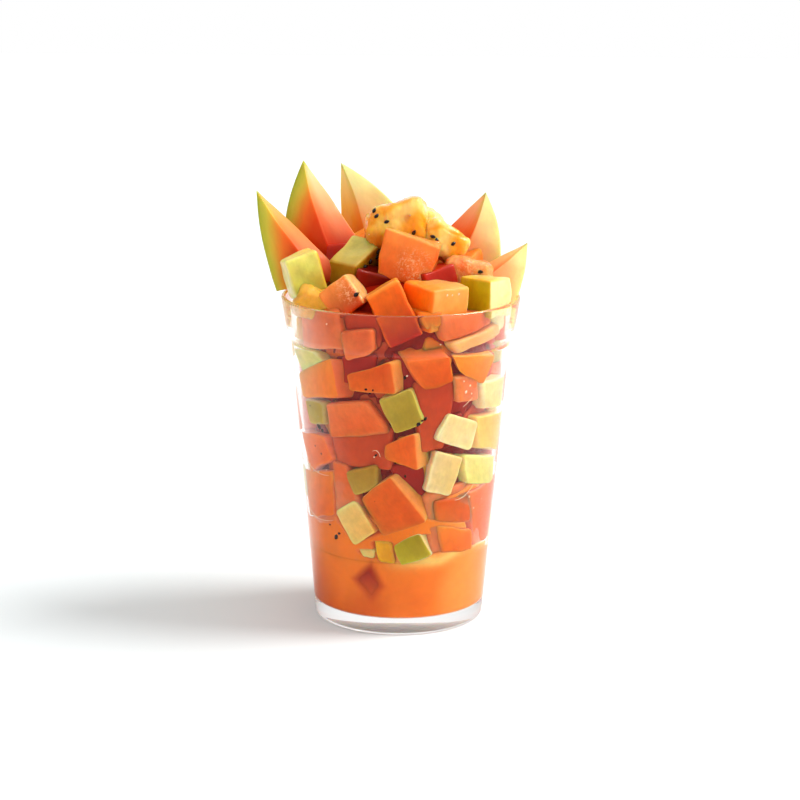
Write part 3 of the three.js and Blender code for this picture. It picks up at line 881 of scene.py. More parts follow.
# %% Pulp
HEAP_SHOULDER = 113.0
HEAP_TOP = 136.0
PULP_SEGMENTS, PULP_RINGS = 300, 190
WET_LINE = [  # degrees round the glass, and height
    (-180, 47), (-92, 46), (-74, 44), (-60, 41), (-45, 43), (-20, 44),
    (14, 46), (36, 52), (48, 55), (80, 56), (120, 50), (180, 47),
]
PULP_MEETS_FRUIT = 66  # higher cubes stand in air, so the pulp needn't make room for them
PULP_NEAR = 24  # mm from a cube's middle within which the pulp makes room


def pulp_core():
    """Points, faces and colours of the core."""
    bottom = JUICE_LEVEL - 6.0
    path = [(z, 1.0) for z in np.linspace(bottom, HEAP_SHOULDER, PULP_RINGS)]
    rise = HEAP_TOP - HEAP_SHOULDER
    dome = [(HEAP_SHOULDER + rise * math.sin(a), math.cos(a)) for a in np.linspace(0.05, 1.5, 26)]
    profile = [(0, bottom)]
    profile += [(float(inside_radius(min(z, STEP_BOTTOM))) * share, z) for z, share in path + dome]
    profile.append((0, HEAP_TOP))
    points, faces = turned(profile, PULP_SEGMENTS)
    points /= MM
    wet_line = np.interp(angle_of(points), *zip(*WET_LINE))
    above = points[:, 2] - wet_line + 2.5 * slow_waves(points, 21, 18)
    dry = smooth_step(-1, 9, above)
    recess = mix(-0.8, 4.2, dry) + 0.5 * slow_waves(points, 22, 5) * dry
    angles = angle_of(points)
    for outline, press in outlines:
        if press < 0 or outline[:, 2].min() > PULP_MEETS_FRUIT:
            continue
        facing = float(angle_of(outline.mean(axis=0)[None])[0])
        flat = unrolled(angles, points[:, 2], facing)
        beside, above_it = np.abs(flat[:, 0]), np.abs(flat[:, 1] - outline[:, 2].mean())
        near = (beside < PULP_NEAR) & (above_it < PULP_NEAR)
        hull = unrolled(angle_of(outline), outline[:, 2], facing).tolist()
        away = inside_outline(flat[near, 0], flat[near, 1], hull)
        recess[near] = np.maximum(recess[near], 4.0 * smooth_step(-0.3, -2.2, away))
    radius = np.hypot(points[:, 0], points[:, 1])
    points[:, :2] *= np.clip((radius - recess) / np.maximum(radius, 1e-6), 0, 2)[:, None]
    # Painted shade: above the wet line the pulp turns dark red, the shade in the gaps between cubes.
    dark = np.array(colour(146, 22, 5))
    colours = mix(juice_colour(points), dark, smooth_step(0, 14, above)[:, None])
    reach = mix(0.02, 0.14, smooth_step(JUICE_LEVEL - 5, JUICE_LEVEL - 1, points[:, 2]))
    return pressed(points, reach) * MM, faces, colours


pulp_points, pulp_faces, pulp_colours = pulp_core()
pulp = make_piece("heap_pulp", pulp_points, pulp_faces, {"flesh": pulp_colours})
pulp.data.materials.append(cloudy_liquid("fruit_pulp", 0.4, 3))
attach(pulp, "root")
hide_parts("mixed_fruit")

# %% [markdown]
# ## Cubes on top
# These are the CAD model's own toppings, with the same middles, sizes and turns, made fine. A few corners are
# pulled to the cut that shows. Each face has its own tint: partly the flesh's own colour, since one piece of
# melon runs from deep orange near the seeds to pale orange near the rind, and partly painted light and shade,
# lighter on faces turned to the lamp and darker on faces turned away. The soft golden pulp is a rounded lump
# with folds: painted light on its ridges and to the right and top, and painted shade, a deeper gold, in its
# creases and low on the left.

# %% Toppings
TOPPINGS = [  # node, kind, middle, size and turns round X, Y and Z
    ("papaya_cube_centre", "papaya", (2.7, -10, 140), (20, 16, 18), (-8, 10, -6)),
    ("melon_cube_front", "orange", (-2.5, -30.5, 122.8), (13.5, 14, 22), (-6, -25, 4)),
    ("melon_block_front_right", "orange", (13, -26.5, 125), (18, 16, 16), (2, 3, 37)),
    ("melon_cube_front_left", "orange", (-20.2, -24, 127.2), (13, 13, 12.5), (-12, -38, -8)),
    ("green_cube_left", "pale_green", (-36, -14, 134), (13, 13, 15), (-6, -17, 14)),
    ("green_cube_right", "pale_green", (31.5, -17.5, 127.3), (12.5, 14, 14), (0, 0, 45)),
    ("green_cube_seeded", "green", (-17, -6.7, 137.4), (19.5, 11.5, 11), (12, -22, 57)),
    ("papaya_cube_shaded", "shaded", (-11, -11, 130), (15, 14, 13), (8, 16, 10)),
    ("melon_lump_right", "orange", (25, -7, 133.5), (17, 13, 12), (0, 12, 0)),
    ("golden_lump_front", "amber", (-2, 0, 152), (24, 17, 17), (0, -8, 0)),
    ("golden_chunk_back", "amber", (6.5, 7, 149.8), (17, 12, 15), (0, 38, 0)),
    ("golden_chunk_right", "amber", (15.5, -1, 145.2), (17, 12, 12), (0, 34, 20)),
    ("golden_piece_left", "amber", (-31, -19.5, 124.5), (16, 11, 12), (0, 20, -20)),
]
# Painted light and shade, face by face: each tint is partly the flesh's own colour and partly how that face
# is lit, lighter where it turns to the lamp, darker low down and where it turns away.
FACE_LIGHT_TINTS = {  # front low, front high, top left, top right, left side, right side
    "papaya_cube_centre": (
        (238, 100, 14), (250, 146, 62), (252, 166, 84), (246, 140, 64), (242, 118, 34), (226, 108, 36),
    ),
    "melon_cube_front": (
        (184, 30, 0), (242, 112, 18), (246, 140, 36), (250, 158, 56), (228, 92, 14), (236, 110, 30),
    ),
    "melon_block_front_right": (
        (250, 148, 54), (252, 162, 78), (252, 138, 28), (250, 178, 98), (248, 116, 10), (252, 176, 92),
    ),
    "melon_cube_front_left": (
        (200, 56, 0), (246, 146, 66), (240, 128, 46), (244, 150, 70), (236, 124, 42), (246, 172, 98),
    ),
    "green_cube_left": (
        (196, 176, 50), (224, 216, 112), (228, 222, 132), (220, 208, 100), (222, 208, 136), (194, 170, 44),
    ),
    "green_cube_right": (
        (238, 226, 150), (242, 234, 160), (232, 178, 44), (238, 228, 148), (196, 166, 8), (240, 232, 170),
    ),
    "green_cube_seeded": (
        (146, 98, 2), (170, 124, 18), (182, 148, 50), (226, 216, 108), (170, 124, 26), (226, 208, 110),
    ),
}
SOFT = {  # rounding of the edges, in mm
    "melon_lump_right": 3.2, "golden_lump_front": 5.0, "golden_chunk_back": 3.0, "golden_chunk_right": 3.2,
    "golden_piece_left": 3.0,
}
# Painted shade in the folds and painted light on the ridges.
FOLD_AND_RIDGE_LIGHT = {  # in the folds and on the ridges
    "melon_lump_right": ((240, 104, 34), (252, 172, 104)),
    "golden_piece_left": ((216, 140, 16), (246, 180, 66)),
}
# Painted glints, as pale specks round these middles.
GLINT_MIDDLES = {  # middle of the pale specks
    "papaya_cube_centre": (5, -18, 138),
    "melon_cube_front_left": (-17, -27, 132.5),
    "melon_lump_right": (27, -12, 135),
}
CORNER_PULLS = {  # which corner, and how far in mm
    "papaya_cube_centre": [((1, -1, 1), (1.0, 0, -3.0)), ((-1, -1, 1), (-0.6, 0, 0.8))],
    "green_cube_seeded": [((-1, 1, 1), (0, 0, -1.0)), ((1, 1, 1), (-1.0, 0, 0.6))],
    "melon_cube_front": [((-1, -1, 1), (0, 0, -1.4))],
    "golden_lump_front": [
        ((-1, -1, 1), (0.6, 0, -3.0)), ((-1, 1, 1), (1.6, 0, -3.4)), ((1, -1, 1), (0, 0, 1.0)),
    ],
}


# %% Topping shapes and tints
def soft_lump(size, seed, rounding):
    """A rounded lump with folds, and how high each point lies on them from 0 to 1."""
    points, faces, skin = cut_cube(size, seed, rounding=rounding, middle=22, swell=0.0, near_steps=9)
    out = points / np.linalg.norm(points, axis=1, keepdims=True)
    creases = np.exp(-((slow_waves(points, seed + 1, 15) / 0.35) ** 2))
    swell = 0.5 * slow_waves(points, seed, 10) - 0.35 * creases + 0.13 * slow_waves(points, seed + 2, 3)
    height = np.clip(0.6 + 0.35 * slow_waves(points, seed + 3, 12) - 0.2 * creases, 0, 1)
    return points + out * swell[:, None], faces, skin, height


def tinted(skin, tints):
    """Colours with painted light and shade: they run up the front face and change on the top and the sides,
    as each face is lit or shaded.
    """
    low, high, top_left, top_right, left, right = (np.array(colour(*tint)) for tint in tints)
    across, up = ((skin[:, [0]] + 1) / 2, (skin[:, [2]] + 1) / 2)
    colours = mix(low, high, up)
    for axis, side, tint in ((0, -1, left), (0, 1, right), (2, 1, mix(top_left, top_right, across))):
        colours = mix(colours, tint, smooth_step(0.84, 1.0, side * skin[:, axis])[:, None])
    return colours


def pulp_tint(node, places, height):
    """Colours of a soft lump with painted light and shade: a deeper tint in its creases and a paler one on
    its ridges; golden pulp is also paler to the right and top and has painted shade low on the left.
    """
    if node in FOLD_AND_RIDGE_LIGHT:
        low, high = (np.array(colour(*tint)) for tint in FOLD_AND_RIDGE_LIGHT[node])
        return mix(low, high, height[:, None])
    shade, deep, bright, pale = (np.array(colour(*c)) for c in (
        (196, 92, 2), (247, 156, 26), (252, 182, 52), (254, 208, 116)
    ))
    rise = places[:, 0] + 0.7 * (places[:, 2] - 150)
    colours = mix(deep, bright, smooth_step(0.1, 0.65, height)[:, None])
    colours = mix(colours, pale, (smooth_step(0.35, 0.8, height) * smooth_step(-12, 6, rise))[:, None])
    shade_low_left = 0.75 * smooth_step(-4, -13, rise) * smooth_step(151, 147, places[:, 2])
    return mix(colours, shade, shade_low_left[:, None])


# %% Toppings in place
toppings = {}
for index, (node, kind, place, size, turn) in enumerate(TOPPINGS):
    seed = 20 + index
    if node in SOFT:
        points, faces, skin, height = soft_lump(size, seed, SOFT[node])
    else:
        points, faces, skin = cut_cube(size, seed, rounding=1.1, middle=20, swell=0.28)
    for signs, pull in CORNER_PULLS.get(node, []):
        points = points + corner_weight(skin, signs) * np.array(pull)
    laid = points @ turned_by(*zip(turn, "XYZ")).T + place
    if node in SOFT:
        flesh = pulp_tint(node, laid, height)
    else:
        flesh = tinted(skin, FACE_LIGHT_TINTS[node]) if node in FACE_LIGHT_TINTS else flesh_of(kind, skin, seed)
    attributes = {"flesh": flesh, "cut_place": points * MM}
    if node in GLINT_MIDDLES:
        attributes["painted_glint"] = smooth_step(9, 4, np.linalg.norm(laid - GLINT_MIDDLES[node], axis=1))
    topping = make_piece(node + "_flesh", pressed(laid, GIVE) * MM, faces, attributes)
    topping.data.materials.append(finishes[FAMILY_OF[kind]])
    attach(topping, "root")
    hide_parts(node)
    toppings[node] = topping

# %% [markdown]
# ## Papaya slices
# A slice is cut like a wedge: skin outside, a wide cut face, and a second face slanting back where the seeds
# were scraped out. Under the skin the flesh is green, then yellow, then orange, and reddest deep inside; the
# depth grows down the slice, so it is painted redder low down, partly as shade. Each point stores how deep it
# lies under the skin, how pale the slice is there, which is painted light on a face turned to the lamp, and
# the tint of its slanted face, which is painted light and shade. The finish turns all that into colour.

# %% Slice shapes
SLICE_THICKNESS = 8.5
# The paleness column is painted light: a main face turned to the lamp is painted paler.
SLICES = [  # tip, end of the skin, end of the cut, bulge, y, turn, paleness, share that slants, ripeness
    ("slice_far_left", (-54, 163), (-46, 126), (-21, 131), -1.2, 0, -6, 0.0, 0.26, 1.0),
    ("slice_left", (-37, 173), (-44, 136), (-12, 136), -2.2, 13, -8, 0.0, 0.38, 1.0),
    ("slice_middle", (-23.5, 171), (7, 140), (-22, 136), 3.4, 26, 12, 1.0, 0.3, 0.45),
    ("slice_right", (32, 161), (37, 129), (6, 134), 2.5, 16, 8, 0.95, 0.42, 0.85),
    ("slice_far_right", (47.5, 143.5), (42, 119), (20, 128), 1.0, 4, 6, 0.85, 0.2, 1.1),
]
# The slanted faces' tints are painted light and shade: paler where lit, deep red low down where shade falls.
SLANT_LIGHT_TINTS = {  # of the slanted face: near the tip, halfway and low
    "slice_far_left": ((253, 176, 100), (246, 136, 66), (240, 98, 42)),
    "slice_left": ((250, 206, 150), (252, 160, 104), (190, 26, 14)),
    "slice_middle": ((240, 214, 120), (252, 196, 60), (248, 150, 20)),
    "slice_right": ((246, 184, 132), (246, 118, 54), (242, 104, 44)),
    "slice_far_right": ((248, 204, 132), (244, 172, 100), (238, 152, 76)),
}


def slice_shape(tip, skin_end, cut_end, bulge, y, turn, pale, slant, ripeness, seed):
    """A slice's points in mm, its faces, what its finish needs, and each point's way down it."""
    tip, skin_end, cut_end = (np.array(p, float) for p in (tip, skin_end, cut_end))
    middle = (tip + skin_end) / 2
    along = (skin_end - tip) / np.linalg.norm(skin_end - tip)
    control = middle + 2 * bulge * np.array([-along[1], along[0]])
    unit, faces = cube_skin(30, 0.07)
    across, thick, down = (unit[:, 0] + 1) / 2, unit[:, 1], ((1 - unit[:, 2]) / 2)[:, None]
    skin_line = (1 - down) ** 2 * tip + 2 * down * (1 - down) * control + down**2 * skin_end
    cut_line = mix(tip, cut_end, down)
    reach = across * (1 - slant * (1 - thick) / 2)
    place = mix(skin_line, cut_line, reach[:, None])
    depth = reach * np.linalg.norm(cut_line - skin_line, axis=1)
    edge = np.maximum(np.abs(unit[:, 0]), np.abs(unit[:, 2]))
    round_off = 0.5 * np.clip((edge - 0.92) / 0.08, 0, 1) ** 2
    offset = thick * (SLICE_THICKNESS / 2 - round_off) * (0.2 + 0.8 * smooth_step(0, 0.4, down[:, 0]))
    offset += 0.3 * slow_waves(np.column_stack([place, offset]), seed, 11) * np.abs(thick)
    points = np.column_stack([place[:, 0] - middle[0], offset, place[:, 1] - middle[1]])
    if bulge > 0:
        faces = faces[:, ::-1]
    points = points @ turned_by((turn, "Z")).T + (middle[0], y, middle[1])
    slanted = smooth_step(0.95, 1.0, across)
    in_front = mix(0.4, 1.0, smooth_step(-1, 0, thick))
    return points, faces, {
        "skin_depth": ripeness * depth * (0.5 + 0.85 * down[:, 0]),
        "lit_paleness": pale * smooth_step(0.0, 0.12, 1 - slanted),
        "slant_share": slanted * in_front * smooth_step(0.02, 0.1, down[:, 0]),
        "cut_place": np.column_stack([reach * 20, offset, down[:, 0] * 40]) * MM,
    }, down[:, 0]


def down_the_slice(tints, down):
    """Colours that pass through three tints from the tip down."""
    stops = np.array([colour(*tint) for tint in tints])
    return np.column_stack([np.interp(down, (0.15, 0.5, 0.9), stops[:, channel]) for channel in range(4)])


# %% Slice finish
def slice_flesh():
    r = Recipe("papaya_slice_flesh")
    r.place = r.attribute("cut_place", "Vector")
    depth = r.attribute("skin_depth", "Fac")
    wander = r.maths("MULTIPLY_ADD", r.noise(7, detail=2), 1.2, -0.6)
    share = r.map_range(r.maths("ADD", depth, wander), 0.0, 24.0)
    rich = r.ramp(
        share,
        (0.0, colour(148, 160, 40)), (0.03, colour(184, 182, 56)), (0.09, colour(206, 188, 62)),
        (0.15, colour(220, 174, 58)), (0.21, colour(230, 150, 48)), (0.3, colour(240, 118, 36)),
        (0.48, colour(230, 80, 8)), (1.0, colour(210, 46, 4)),
    )
    # The pale ramp is painted light, for a main face turned to the lamp.
    pale = r.ramp(
        share,
        (0.0, colour(232, 236, 172)), (0.04, colour(240, 238, 166)), (0.1, colour(246, 230, 162)),
        (0.18, colour(248, 214, 150)), (0.3, colour(250, 198, 136)), (0.45, colour(250, 182, 122)),
        (0.7, colour(250, 160, 96)),
    )
    face = r.blend(r.attribute("lit_paleness", "Fac"), rich, pale)
    base = r.blend(r.attribute("slant_share", "Fac"), face, r.attribute("slant_light_tint"))
    fibres = r.ramp(r.noise(1.1, detail=3, stretch=(0.5, 1, 0.2), twist=0.5), (0.3, 0.97), (0.7, 1.03))
    shader = r.node(
        "ShaderNodeBsdfPrincipled", Base_Color=r.blend(1.0, base, fibres, "MULTIPLY"),
        IOR=1.38, Specular_IOR_Level=0.25, Roughness=r.ramp(r.noise(3), (0.3, 0.35), (0.7, 0.55)),
        Subsurface_Weight=0.8, Subsurface_Scale=3.5 * MM, Subsurface_Radius=(1.0, 0.45, 0.2),
        Coat_Weight=0.2, Coat_Roughness=0.15, Normal=r.bump(r.noise(1.3, detail=4), 0.05),
    )
    return r.finish(shader.outputs[0])


slice_finish = slice_flesh()
for index, (node, *shape) in enumerate(SLICES):
    points, faces, attributes, down = slice_shape(*shape, 60 + index)
    attributes["slant_light_tint"] = down_the_slice(SLANT_LIGHT_TINTS[node], down)
    papaya_slice = make_piece(node + "_flesh", points * MM, faces, attributes)
    papaya_slice.data.materials.append(slice_finish)
    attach(papaya_slice, "root")
    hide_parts(node)
    toppings[node] = papaya_slice

# %% [markdown]
# ## Seeds and drops
# Kiwi seeds are black, glossy and drop-shaped, and some lie in a little clear gel. We don't guess
# where the fruit's surface is: a ray from in front finds it, and the seed is laid flat there and
# pressed in. On a steep face it leans out towards the viewer, or only its thin edge would show. Seeds
# behind the glass sit on its inside, a little into the wall, like the fruit.

# %% Seeds and gel drops
EYE = Vector((0, -0.809, 0.2702))  # where the viewer stands; the camera stands here too
SEED_LENGTH, SEED_WIDTH = 2.3, 1.5


def seed_shape(length, width, thick, rings=10, around=14):
    """A drop: round at one end and pointed at the other, in mm, its flat side down."""
    profile = [(0, -0.5)]
    for step in range(1, rings):
        t = step / rings
        profile.append((0.5 * math.sin(math.pi * t) ** 0.8 * (1.12 - 0.35 * t), -0.5 + t))
    profile.append((0, 0.5))
    points, faces = turned(profile, around)
    return points[:, [2, 0, 1]] / MM * (length, width, thick), faces


def surface_at(x, y, z):
    """The nearest fruit seen from in front along the line through a point: place and normal, in mm."""
    target = Vector((x, y, z)) * MM
    direction = (target - EYE).normalized()
    best = None
    for tree in trees:
        place, normal, _, distance = tree.ray_cast(EYE, direction)
        if place is not None and (best is None or distance < best[2]):
            best = (place / MM, normal, distance)
    return best[0], best[1]


def laid_flat(points, place, normal, spin, sink):
    """Points turned so that their Z follows a surface normal, and moved there."""
    turn = normal.to_track_quat("Z", "Y").to_matrix() @ Matrix.Rotation(math.radians(spin), 3, "Z")
    return points @ np.array(turn).T + np.array(place) - sink * np.array(normal)


def outward(angle):
    """The level direction out of the glass at an angle in degrees from the front, to the right."""
    facing = math.radians(angle)
    return Vector((math.sin(facing), -math.cos(facing), 0))


class Bits:
    """Many small closed shapes in one mesh."""

    def __init__(self):
        self.points, self.faces, self.count = [], [], 0

    def add(self, points, faces):
        self.points.append(points)
        self.faces += [tuple(int(i) + self.count for i in face) for face in faces]
        self.count += len(points)

    def piece(self, name, finish):
        bits = make_piece(name, np.concatenate(self.points) * MM, self.faces)
        bits.data.materials.append(finish)
        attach(bits, "root")
        return bits


def mesh_tree(thing):
    """A mesh as a tree that rays can be shot at."""
    world = thing.matrix_world
    return BVHTree.FromPolygons(
        [world @ v.co for v in thing.data.vertices], [tuple(p.vertices) for p in thing.data.polygons]
    )


bpy.context.view_layer.update()
trees = [mesh_tree(thing) for thing in toppings.values()]

# %% Where seeds and drops lie
SEEDS_ON_TOP = [  # x, y and z to look through, and spin in degrees
    (-5.4, -8, 153.0, 20), (-10.1, -2, 156.3, 70), (11.7, -7, 147.4, 160), (19.4, -6, 144.7, 30),
    (13.2, -8, 146.2, 100), (4.7, -8, 149.0, 60), (-11.4, -15, 139.3, 60),
    (-13.2, -15, 137.2, 20), (-8.9, -14, 140.9, 50), (-8.6, -13, 142.6, 80), (-16.1, -30, 129.6, 40),
    (29.2, -17, 136.0, 0), (-9.2, -4, 154.6, 50),
]
SEEDS_ON_WALL = [  # degrees round the glass, height, spin, size
    (10.4, 83.5, 40, 1.25), (14.1, 85.2, 60, 0.8), (12.2, 84.6, 20, 0.7), (-52.3, 78.7, 150, 1.2),
    (-49.5, 77.6, 120, 0.7), (-59.3, 85.9, 10, 0.5), (-57.2, 70.7, 80, 0.6), (-51.6, 68.4, 100, 0.7),
    (-43.5, 36.7, 60, 1.2), (-40.8, 38.3, 20, 0.7), (-18.3, 96.1, 10, 0.8), (-14.5, 96.0, 70, 0.6),
    (-16.4, 94.6, 30, 0.5), (2.4, 101.0, 90, 0.7), (-13.6, 71.1, 50, 0.6), (3.3, 63.3, 100, 0.6),
    (-14.6, 53.2, 20, 0.4), (-48.5, 40.9, 10, 0.5),
]
GEL_ON_TOP = [  # x, y and z to look through, and width
    (4.4, -8, 149.2, 2.6), (13.8, -8, 145.4, 2.4), (2.2, -8, 154.6, 3.4), (-9.9, -3, 154.9, 2.2),
    (-16.1, -30, 129.6, 3.0),
]
SEED_SINK, SEED_RISE = 0.05, 1.5  # mm into a face seen square on, and mm back out of a steep one
SEED_LEAN = 2.5  # how strongly a seed on a steep face turns to the viewer
WALL_REACH = 0.42  # mm that seeds and wet lines go into the wall

seeds, gel = Bits(), Bits()
for x, y, z, spin in SEEDS_ON_TOP:
    place, normal = surface_at(x, y, z)
    to_eye = (EYE - Vector(place) * MM).normalized()
    steep = 1 - max(0, normal.dot(to_eye))
    points, faces = seed_shape(SEED_LENGTH, SEED_WIDTH, 1.1)
    lean = (normal + SEED_LEAN * steep * to_eye).normalized()
    seeds.add(laid_flat(points, place, lean, spin, SEED_SINK - SEED_RISE * steep**2), faces)
for x, y, z, width in GEL_ON_TOP:
    place, normal = surface_at(x, y, z)
    points, faces = seed_shape(width, 0.8 * width, 1.3)
    gel.add(laid_flat(points, place, normal, 15 * width, 0.1), faces)
for angle, height, spin, size in SEEDS_ON_WALL:
    out = outward(angle)
    reach = float(inside_radius(height)) + WALL_REACH
    points, faces = seed_shape(SEED_LENGTH * size, SEED_WIDTH * size, 1.0)
    seeds.add(laid_flat(points, out * reach + Vector((0, 0, height)), out, spin, 0.5), faces)


# %% Seed and gel finishes
def seed_finish():
    r = Recipe("kiwi_seed")
    shell = r.ramp(r.noise(0.8, detail=2), (0.3, colour(14, 8, 6)), (0.7, colour(34, 20, 12)))
    shader = r.node(
        "ShaderNodeBsdfPrincipled", Base_Color=shell, IOR=1.5, Roughness=0.18,
        Normal=r.bump(r.noise(0.4, detail=2), 0.02),
    )
    return r.finish(shader.outputs[0])


def gel_finish():
    r = Recipe("seed_gel")
    tint = r.ramp(r.noise(2, detail=2), (0.3, (1.0, 0.9, 0.72, 1)), (0.7, (1.0, 0.95, 0.84, 1)))
    shader = r.node(
        "ShaderNodeBsdfPrincipled", Base_Color=tint, IOR=1.34, Roughness=0.04, Transmission_Weight=1.0,
        Normal=r.bump(r.noise(1.2, detail=2), 0.05),
    )
    clear = r.node("ShaderNodeBsdfTransparent", Color=(1.0, 0.95, 0.88, 1)).outputs[0]
    return r.finish(r.for_rays("Is Shadow Ray", clear, shader.outputs[0]))


seeds.piece("black_seeds", seed_finish())
gel.piece("seed_gel_drops", gel_finish())

# %% [markdown]
# ## Wet lines on the glass
# Where juice stops against the glass it climbs a little, and that edge catches the light as a thin pale line;
# the line is painted pale, a painted highlight. Small bubbles cling beside it, painted pale as their
# highlights. Both are thin shapes on the inside of the wall. A few drops of the same pale froth lie on the
# fruit on top as painted glints.

# %% Wet lines and bubbles
WET_EDGES = [  # start, middle and end as degrees round the glass and height
    ((-80, 46), (-64, 39.5), (-45, 43)),
    ((50, 57.5), (43, 52), (35, 52.4)),
    ((-74, 64.5), (-60, 59), (-46, 60.5)),
    ((43, 91.5), (40, 90), (36.5, 88.4)),
    ((-15.5, 72.6), (-12, 74), (-11, 70.5)),
]
BUBBLES = [  # degrees round the glass, height and size
    (38, 94, 0.7), (40.5, 96.2, 0.5), (42, 93, 0.4), (-66, 62.2, 0.7), (-56, 60.8, 0.5),
    (-48, 62.4, 0.4), (3.6, 101.7, 0.4), (47, 52.5, 0.5), (52, 47.5, 0.4), (-14.5, 70.4, 0.4),
    (-70, 65.8, 0.5), (36, 98.2, 0.4), (-38, 119.5, 0.4), (20, 113.4, 0.3), (-71, 44.5, 0.4),
    (60, 50, 0.3),
]
# Painted glints: pale drops of froth where the wet fruit would shine.
GLINTS_ON_TOP = [  # x, y and z to look through, and size
    (16.8, -34, 130.3, 0.9), (18.6, -34, 130.3, 0.7), (21, -32, 130.4, 0.8), (3.2, -9, 155.6, 0.7),
    (-12, -4, 147.6, 0.6),
]
BUBBLE_REACH = 0.3  # mm that bubbles go into the wall


def wet_edge(start, middle, end, thickness=0.13, steps=24):
    """A thin thread on the inside of the wall along a curve."""
    shares = np.linspace(0, 1, steps)[:, None]
    start, middle, end = (np.array(p, float) for p in (start, middle, end))
    curve = (1 - shares) ** 2 * start + 2 * shares * (1 - shares) * middle + shares**2 * end
    facing = np.radians(curve[:, 0])
    out = np.column_stack([np.sin(facing), -np.cos(facing), np.zeros(steps)])
    spine = out * (inside_radius(curve[:, 1]) + WALL_REACH)[:, None]
    spine = spine + np.column_stack([np.zeros((steps, 2)), curve[:, 1]])
    travel = np.gradient(spine, axis=0)
    travel /= np.linalg.norm(travel, axis=1, keepdims=True)
    beside = np.cross(travel, out)
    thick = thickness * np.sin(np.pi * np.clip(np.linspace(0.04, 0.96, steps), 0, 1)) ** 0.5
    points, faces, sides = [], [], 8
    for index in range(steps):
        for side in range(sides):
            a = 2 * math.pi * side / sides
            turn = math.cos(a) * beside[index] + math.sin(a) * out[index]
            points.append(spine[index] + thick[index] * turn)
    for index in range(steps - 1):
        for side in range(sides):
            a, b = index * sides + side, index * sides + (side + 1) % sides
            faces.append((a, b, b + sides, a + sides))
    faces += [tuple(range(sides))[::-1], tuple(range((steps - 1) * sides, steps * sides))]
    return np.array(points), faces


# %% Place them
lines = Bits()
for x, y, z, size in GLINTS_ON_TOP:
    place, normal = surface_at(x, y, z)
    points, faces = seed_shape(1.2 * size, 0.7 * size, 0.4)
    lines.add(laid_flat(points, place, normal, 60 * size, 0.02), faces)
for edge in WET_EDGES:
    lines.add(*wet_edge(*edge))
for angle, height, size in BUBBLES:
    out = outward(angle)
    points, faces = seed_shape(2 * size, 1.6 * size, 0.5)
    place = out * (float(inside_radius(height)) + BUBBLE_REACH) + Vector((0, 0, height))
    lines.add(laid_flat(points, place, out, 90 * size, 0.1), faces)


# %% Froth and glint finish
# A pale colour painted as highlight on the wet edges, the bubbles and the glints on top.
def froth_finish():
    r = Recipe("juice_froth_and_glints")
    pale = r.ramp(r.noise(1.5, detail=2), (0.3, colour(255, 194, 148)), (0.7, colour(255, 224, 194)))
    shader = r.node(
        "ShaderNodeBsdfPrincipled", Base_Color=pale, IOR=1.34, Roughness=0.3, Subsurface_Weight=0.5,
        Subsurface_Scale=1 * MM, Normal=r.bump(r.noise(0.8, detail=2), 0.03),
    )
    return r.finish(shader.outputs[0])


lines.piece("wet_lines_and_bubbles", froth_finish())

# %% [markdown]
# ## Fruit sunk in the juice
# One dark red piece lies in the juice near the front and leans on the glass. Cloudy juice lets only its
# blurred shade through, so the juice is tinted there, and the piece takes its colour from the juice.

# %% Sunk piece
SUNK_NUMBER = 7
sunk_points, sunk_faces, _, sunk_place = wall_block(
    "deep", SUNK_CORNERS, 0.3, (0, 0), 9, SUNK_NUMBER, GIVE + GIVE_STEP * SUNK_NUMBER, 20, rounding=3,
)
sunk_attributes = {"flesh": juice_colour(sunk_points), "cut_place": sunk_place * MM}
sunk = make_piece("sunk_papaya", sunk_points * MM, sunk_faces, sunk_attributes)
sunk.data.materials.append(packed_finishes["papaya"])
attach(sunk, "root")

# %% [markdown]
# ## A plain studio
# A white floor, a soft white sky and a big soft lamp straight from the right. The side behind the viewer is
# brighter for the fruit, but dark in mirrors: the sky and the front of the floor are painted darker for
# reflected rays only, as dark cloth in a studio would make them, so that glass doesn't look milky. Glass
# passes light on inside its wall many times, so we let light bounce more often than usual.

# %% Floor
FLOOR_HALF = 3
FLOOR_DROP = 0.0002  # below the foot, so that the two don't share a surface


def floor_finish():
    r = Recipe("white_floor")
    white = r.ramp(r.noise(400), (0.3, (0.83, 0.87, 0.872, 1)), (0.7, (0.85, 0.89, 0.892, 1)))
    paper = r.node("ShaderNodeBsdfDiffuse", Color=white)
    # Painted reflection: seen in mirrors, the floor is painted darker, darkest in front.
    from_front = r.map_range(r.node("ShaderNodeSeparateXYZ", Vector=r.place).outputs["Y"], -0.12, 0.05)
    darker_in_front = r.ramp(from_front, (0.0, 0.2), (1.0, 0.86))
    in_mirrors = r.node("ShaderNodeBsdfDiffuse", Color=darker_in_front)
    return r.finish(r.for_rays("Is Glossy Ray", in_mirrors.outputs[0], paper.outputs[0]))


floor_points = [(FLOOR_HALF * x, FLOOR_HALF * y, 0) for x, y in ((-1, -1), (1, -1), (1, 1), (-1, 1))]
floor = make_piece("studio_floor", floor_points, [(0, 1, 2, 3)], smooth=False)
floor.data.materials.append(floor_finish())
floor.location.z = -FLOOR_DROP


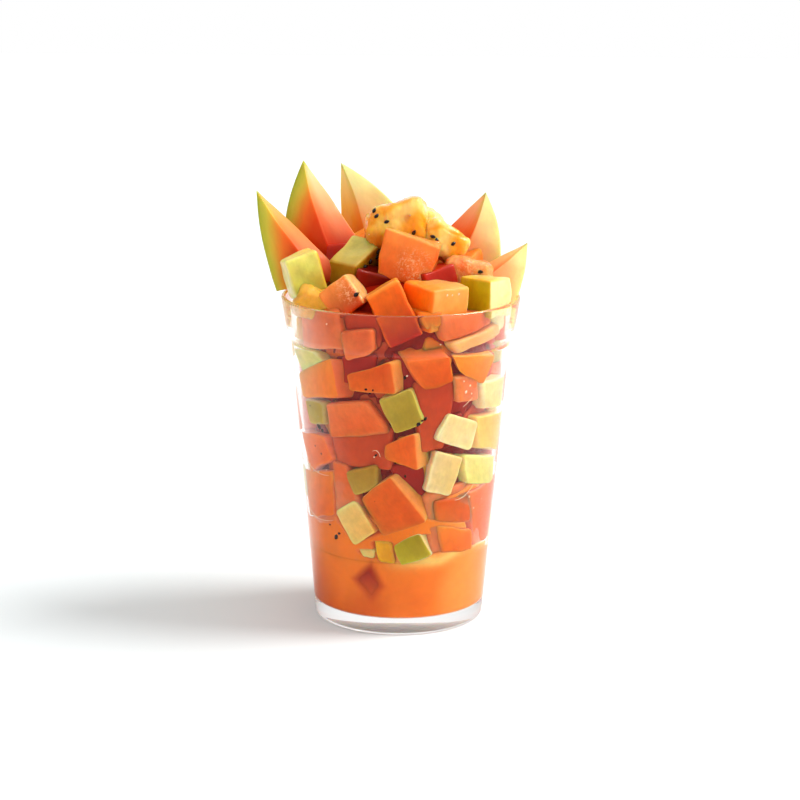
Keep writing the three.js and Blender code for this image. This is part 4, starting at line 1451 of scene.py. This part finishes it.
# %% Sky
def studio_sky():
    """White to look at, lighter to the right and the front, and dark in front for mirrors."""
    sky = bpy.data.worlds.new("white_studio")
    sky.use_nodes = True
    nodes, links = sky.node_tree.nodes, sky.node_tree.links
    toward = nodes.new("ShaderNodeSeparateXYZ")
    links.new(nodes.new("ShaderNodeTexCoord").outputs["Generated"], toward.inputs[0])
    path = nodes.new("ShaderNodeLightPath")

    def light(middle, right, front, up):
        """A background whose strength grows towards the right, the front and the top."""
        strength = None
        for axis, slope in (("X", right), ("Y", -front), ("Z", up)):
            step = nodes.new("ShaderNodeMath")
            step.operation = "MULTIPLY_ADD"
            step.inputs[1].default_value = slope
            step.inputs[2].default_value = middle
            links.new(toward.outputs[axis], step.inputs[0])
            if strength:
                links.new(strength, step.inputs[2])
            strength = step.outputs[0]
        background = nodes.new("ShaderNodeBackground")
        background.inputs["Color"].default_value = (1, 1, 1, 1)
        links.new(strength, background.inputs["Strength"])
        return background.outputs[0]

    def choose(ray, otherwise, then):
        """One background for one kind of ray, and another for all the rest."""
        mixer = nodes.new("ShaderNodeMixShader")
        for socket, value in zip(mixer.inputs, (path.outputs[ray], otherwise, then)):
            links.new(value, socket)
        return mixer.outputs[0]

    mirrored = choose("Is Glossy Ray", light(0.8, 0.24, 0.16, 0.0), light(0.5, 0.0, -0.34, 0.6))
    seen = choose("Is Camera Ray", mirrored, light(1.0, 0.0, 0.0, 0.0))
    links.new(seen, nodes["World Output"].inputs["Surface"])
    return sky


bpy.context.scene.world = studio_sky()

# %% Lamp
LAMP_HEIGHT = 48  # degrees above the floor
lamp_data = bpy.data.lights.new("soft_key_lamp", "SUN")
lamp_data.angle = math.radians(28)
lamp_data.energy = 2.6
lamp = bpy.data.objects.new("soft_key_lamp", lamp_data)
toward_lamp = Vector((math.cos(math.radians(LAMP_HEIGHT)), 0.03, math.sin(math.radians(LAMP_HEIGHT))))
lamp.rotation_euler = (-toward_lamp).to_track_quat("-Z", "Y").to_euler()
bpy.context.scene.collection.objects.link(lamp)

# %% Camera
CAMERA_PITCH = 12.99  # degrees down
CAMERA_ROLL = 0.42
camera_data = bpy.data.cameras.new("camera")
camera_data.lens = 98.2
camera_data.sensor_width = 36
camera = bpy.data.objects.new("camera", camera_data)
camera.location = EYE
pitch = Matrix.Rotation(math.radians(90 - CAMERA_PITCH), 3, "X")
roll = Matrix.Rotation(math.radians(CAMERA_ROLL), 3, "Z")
camera.rotation_euler = (pitch @ roll).to_euler()
bpy.context.scene.collection.objects.link(camera)
bpy.context.scene.camera = camera

# %% Picture and bounces
bpy.context.scene.view_settings.view_transform = "Standard"
bpy.context.scene.cycles.max_bounces = 80
bpy.context.scene.cycles.glossy_bounces = 40
bpy.context.scene.cycles.transmission_bounces = 80
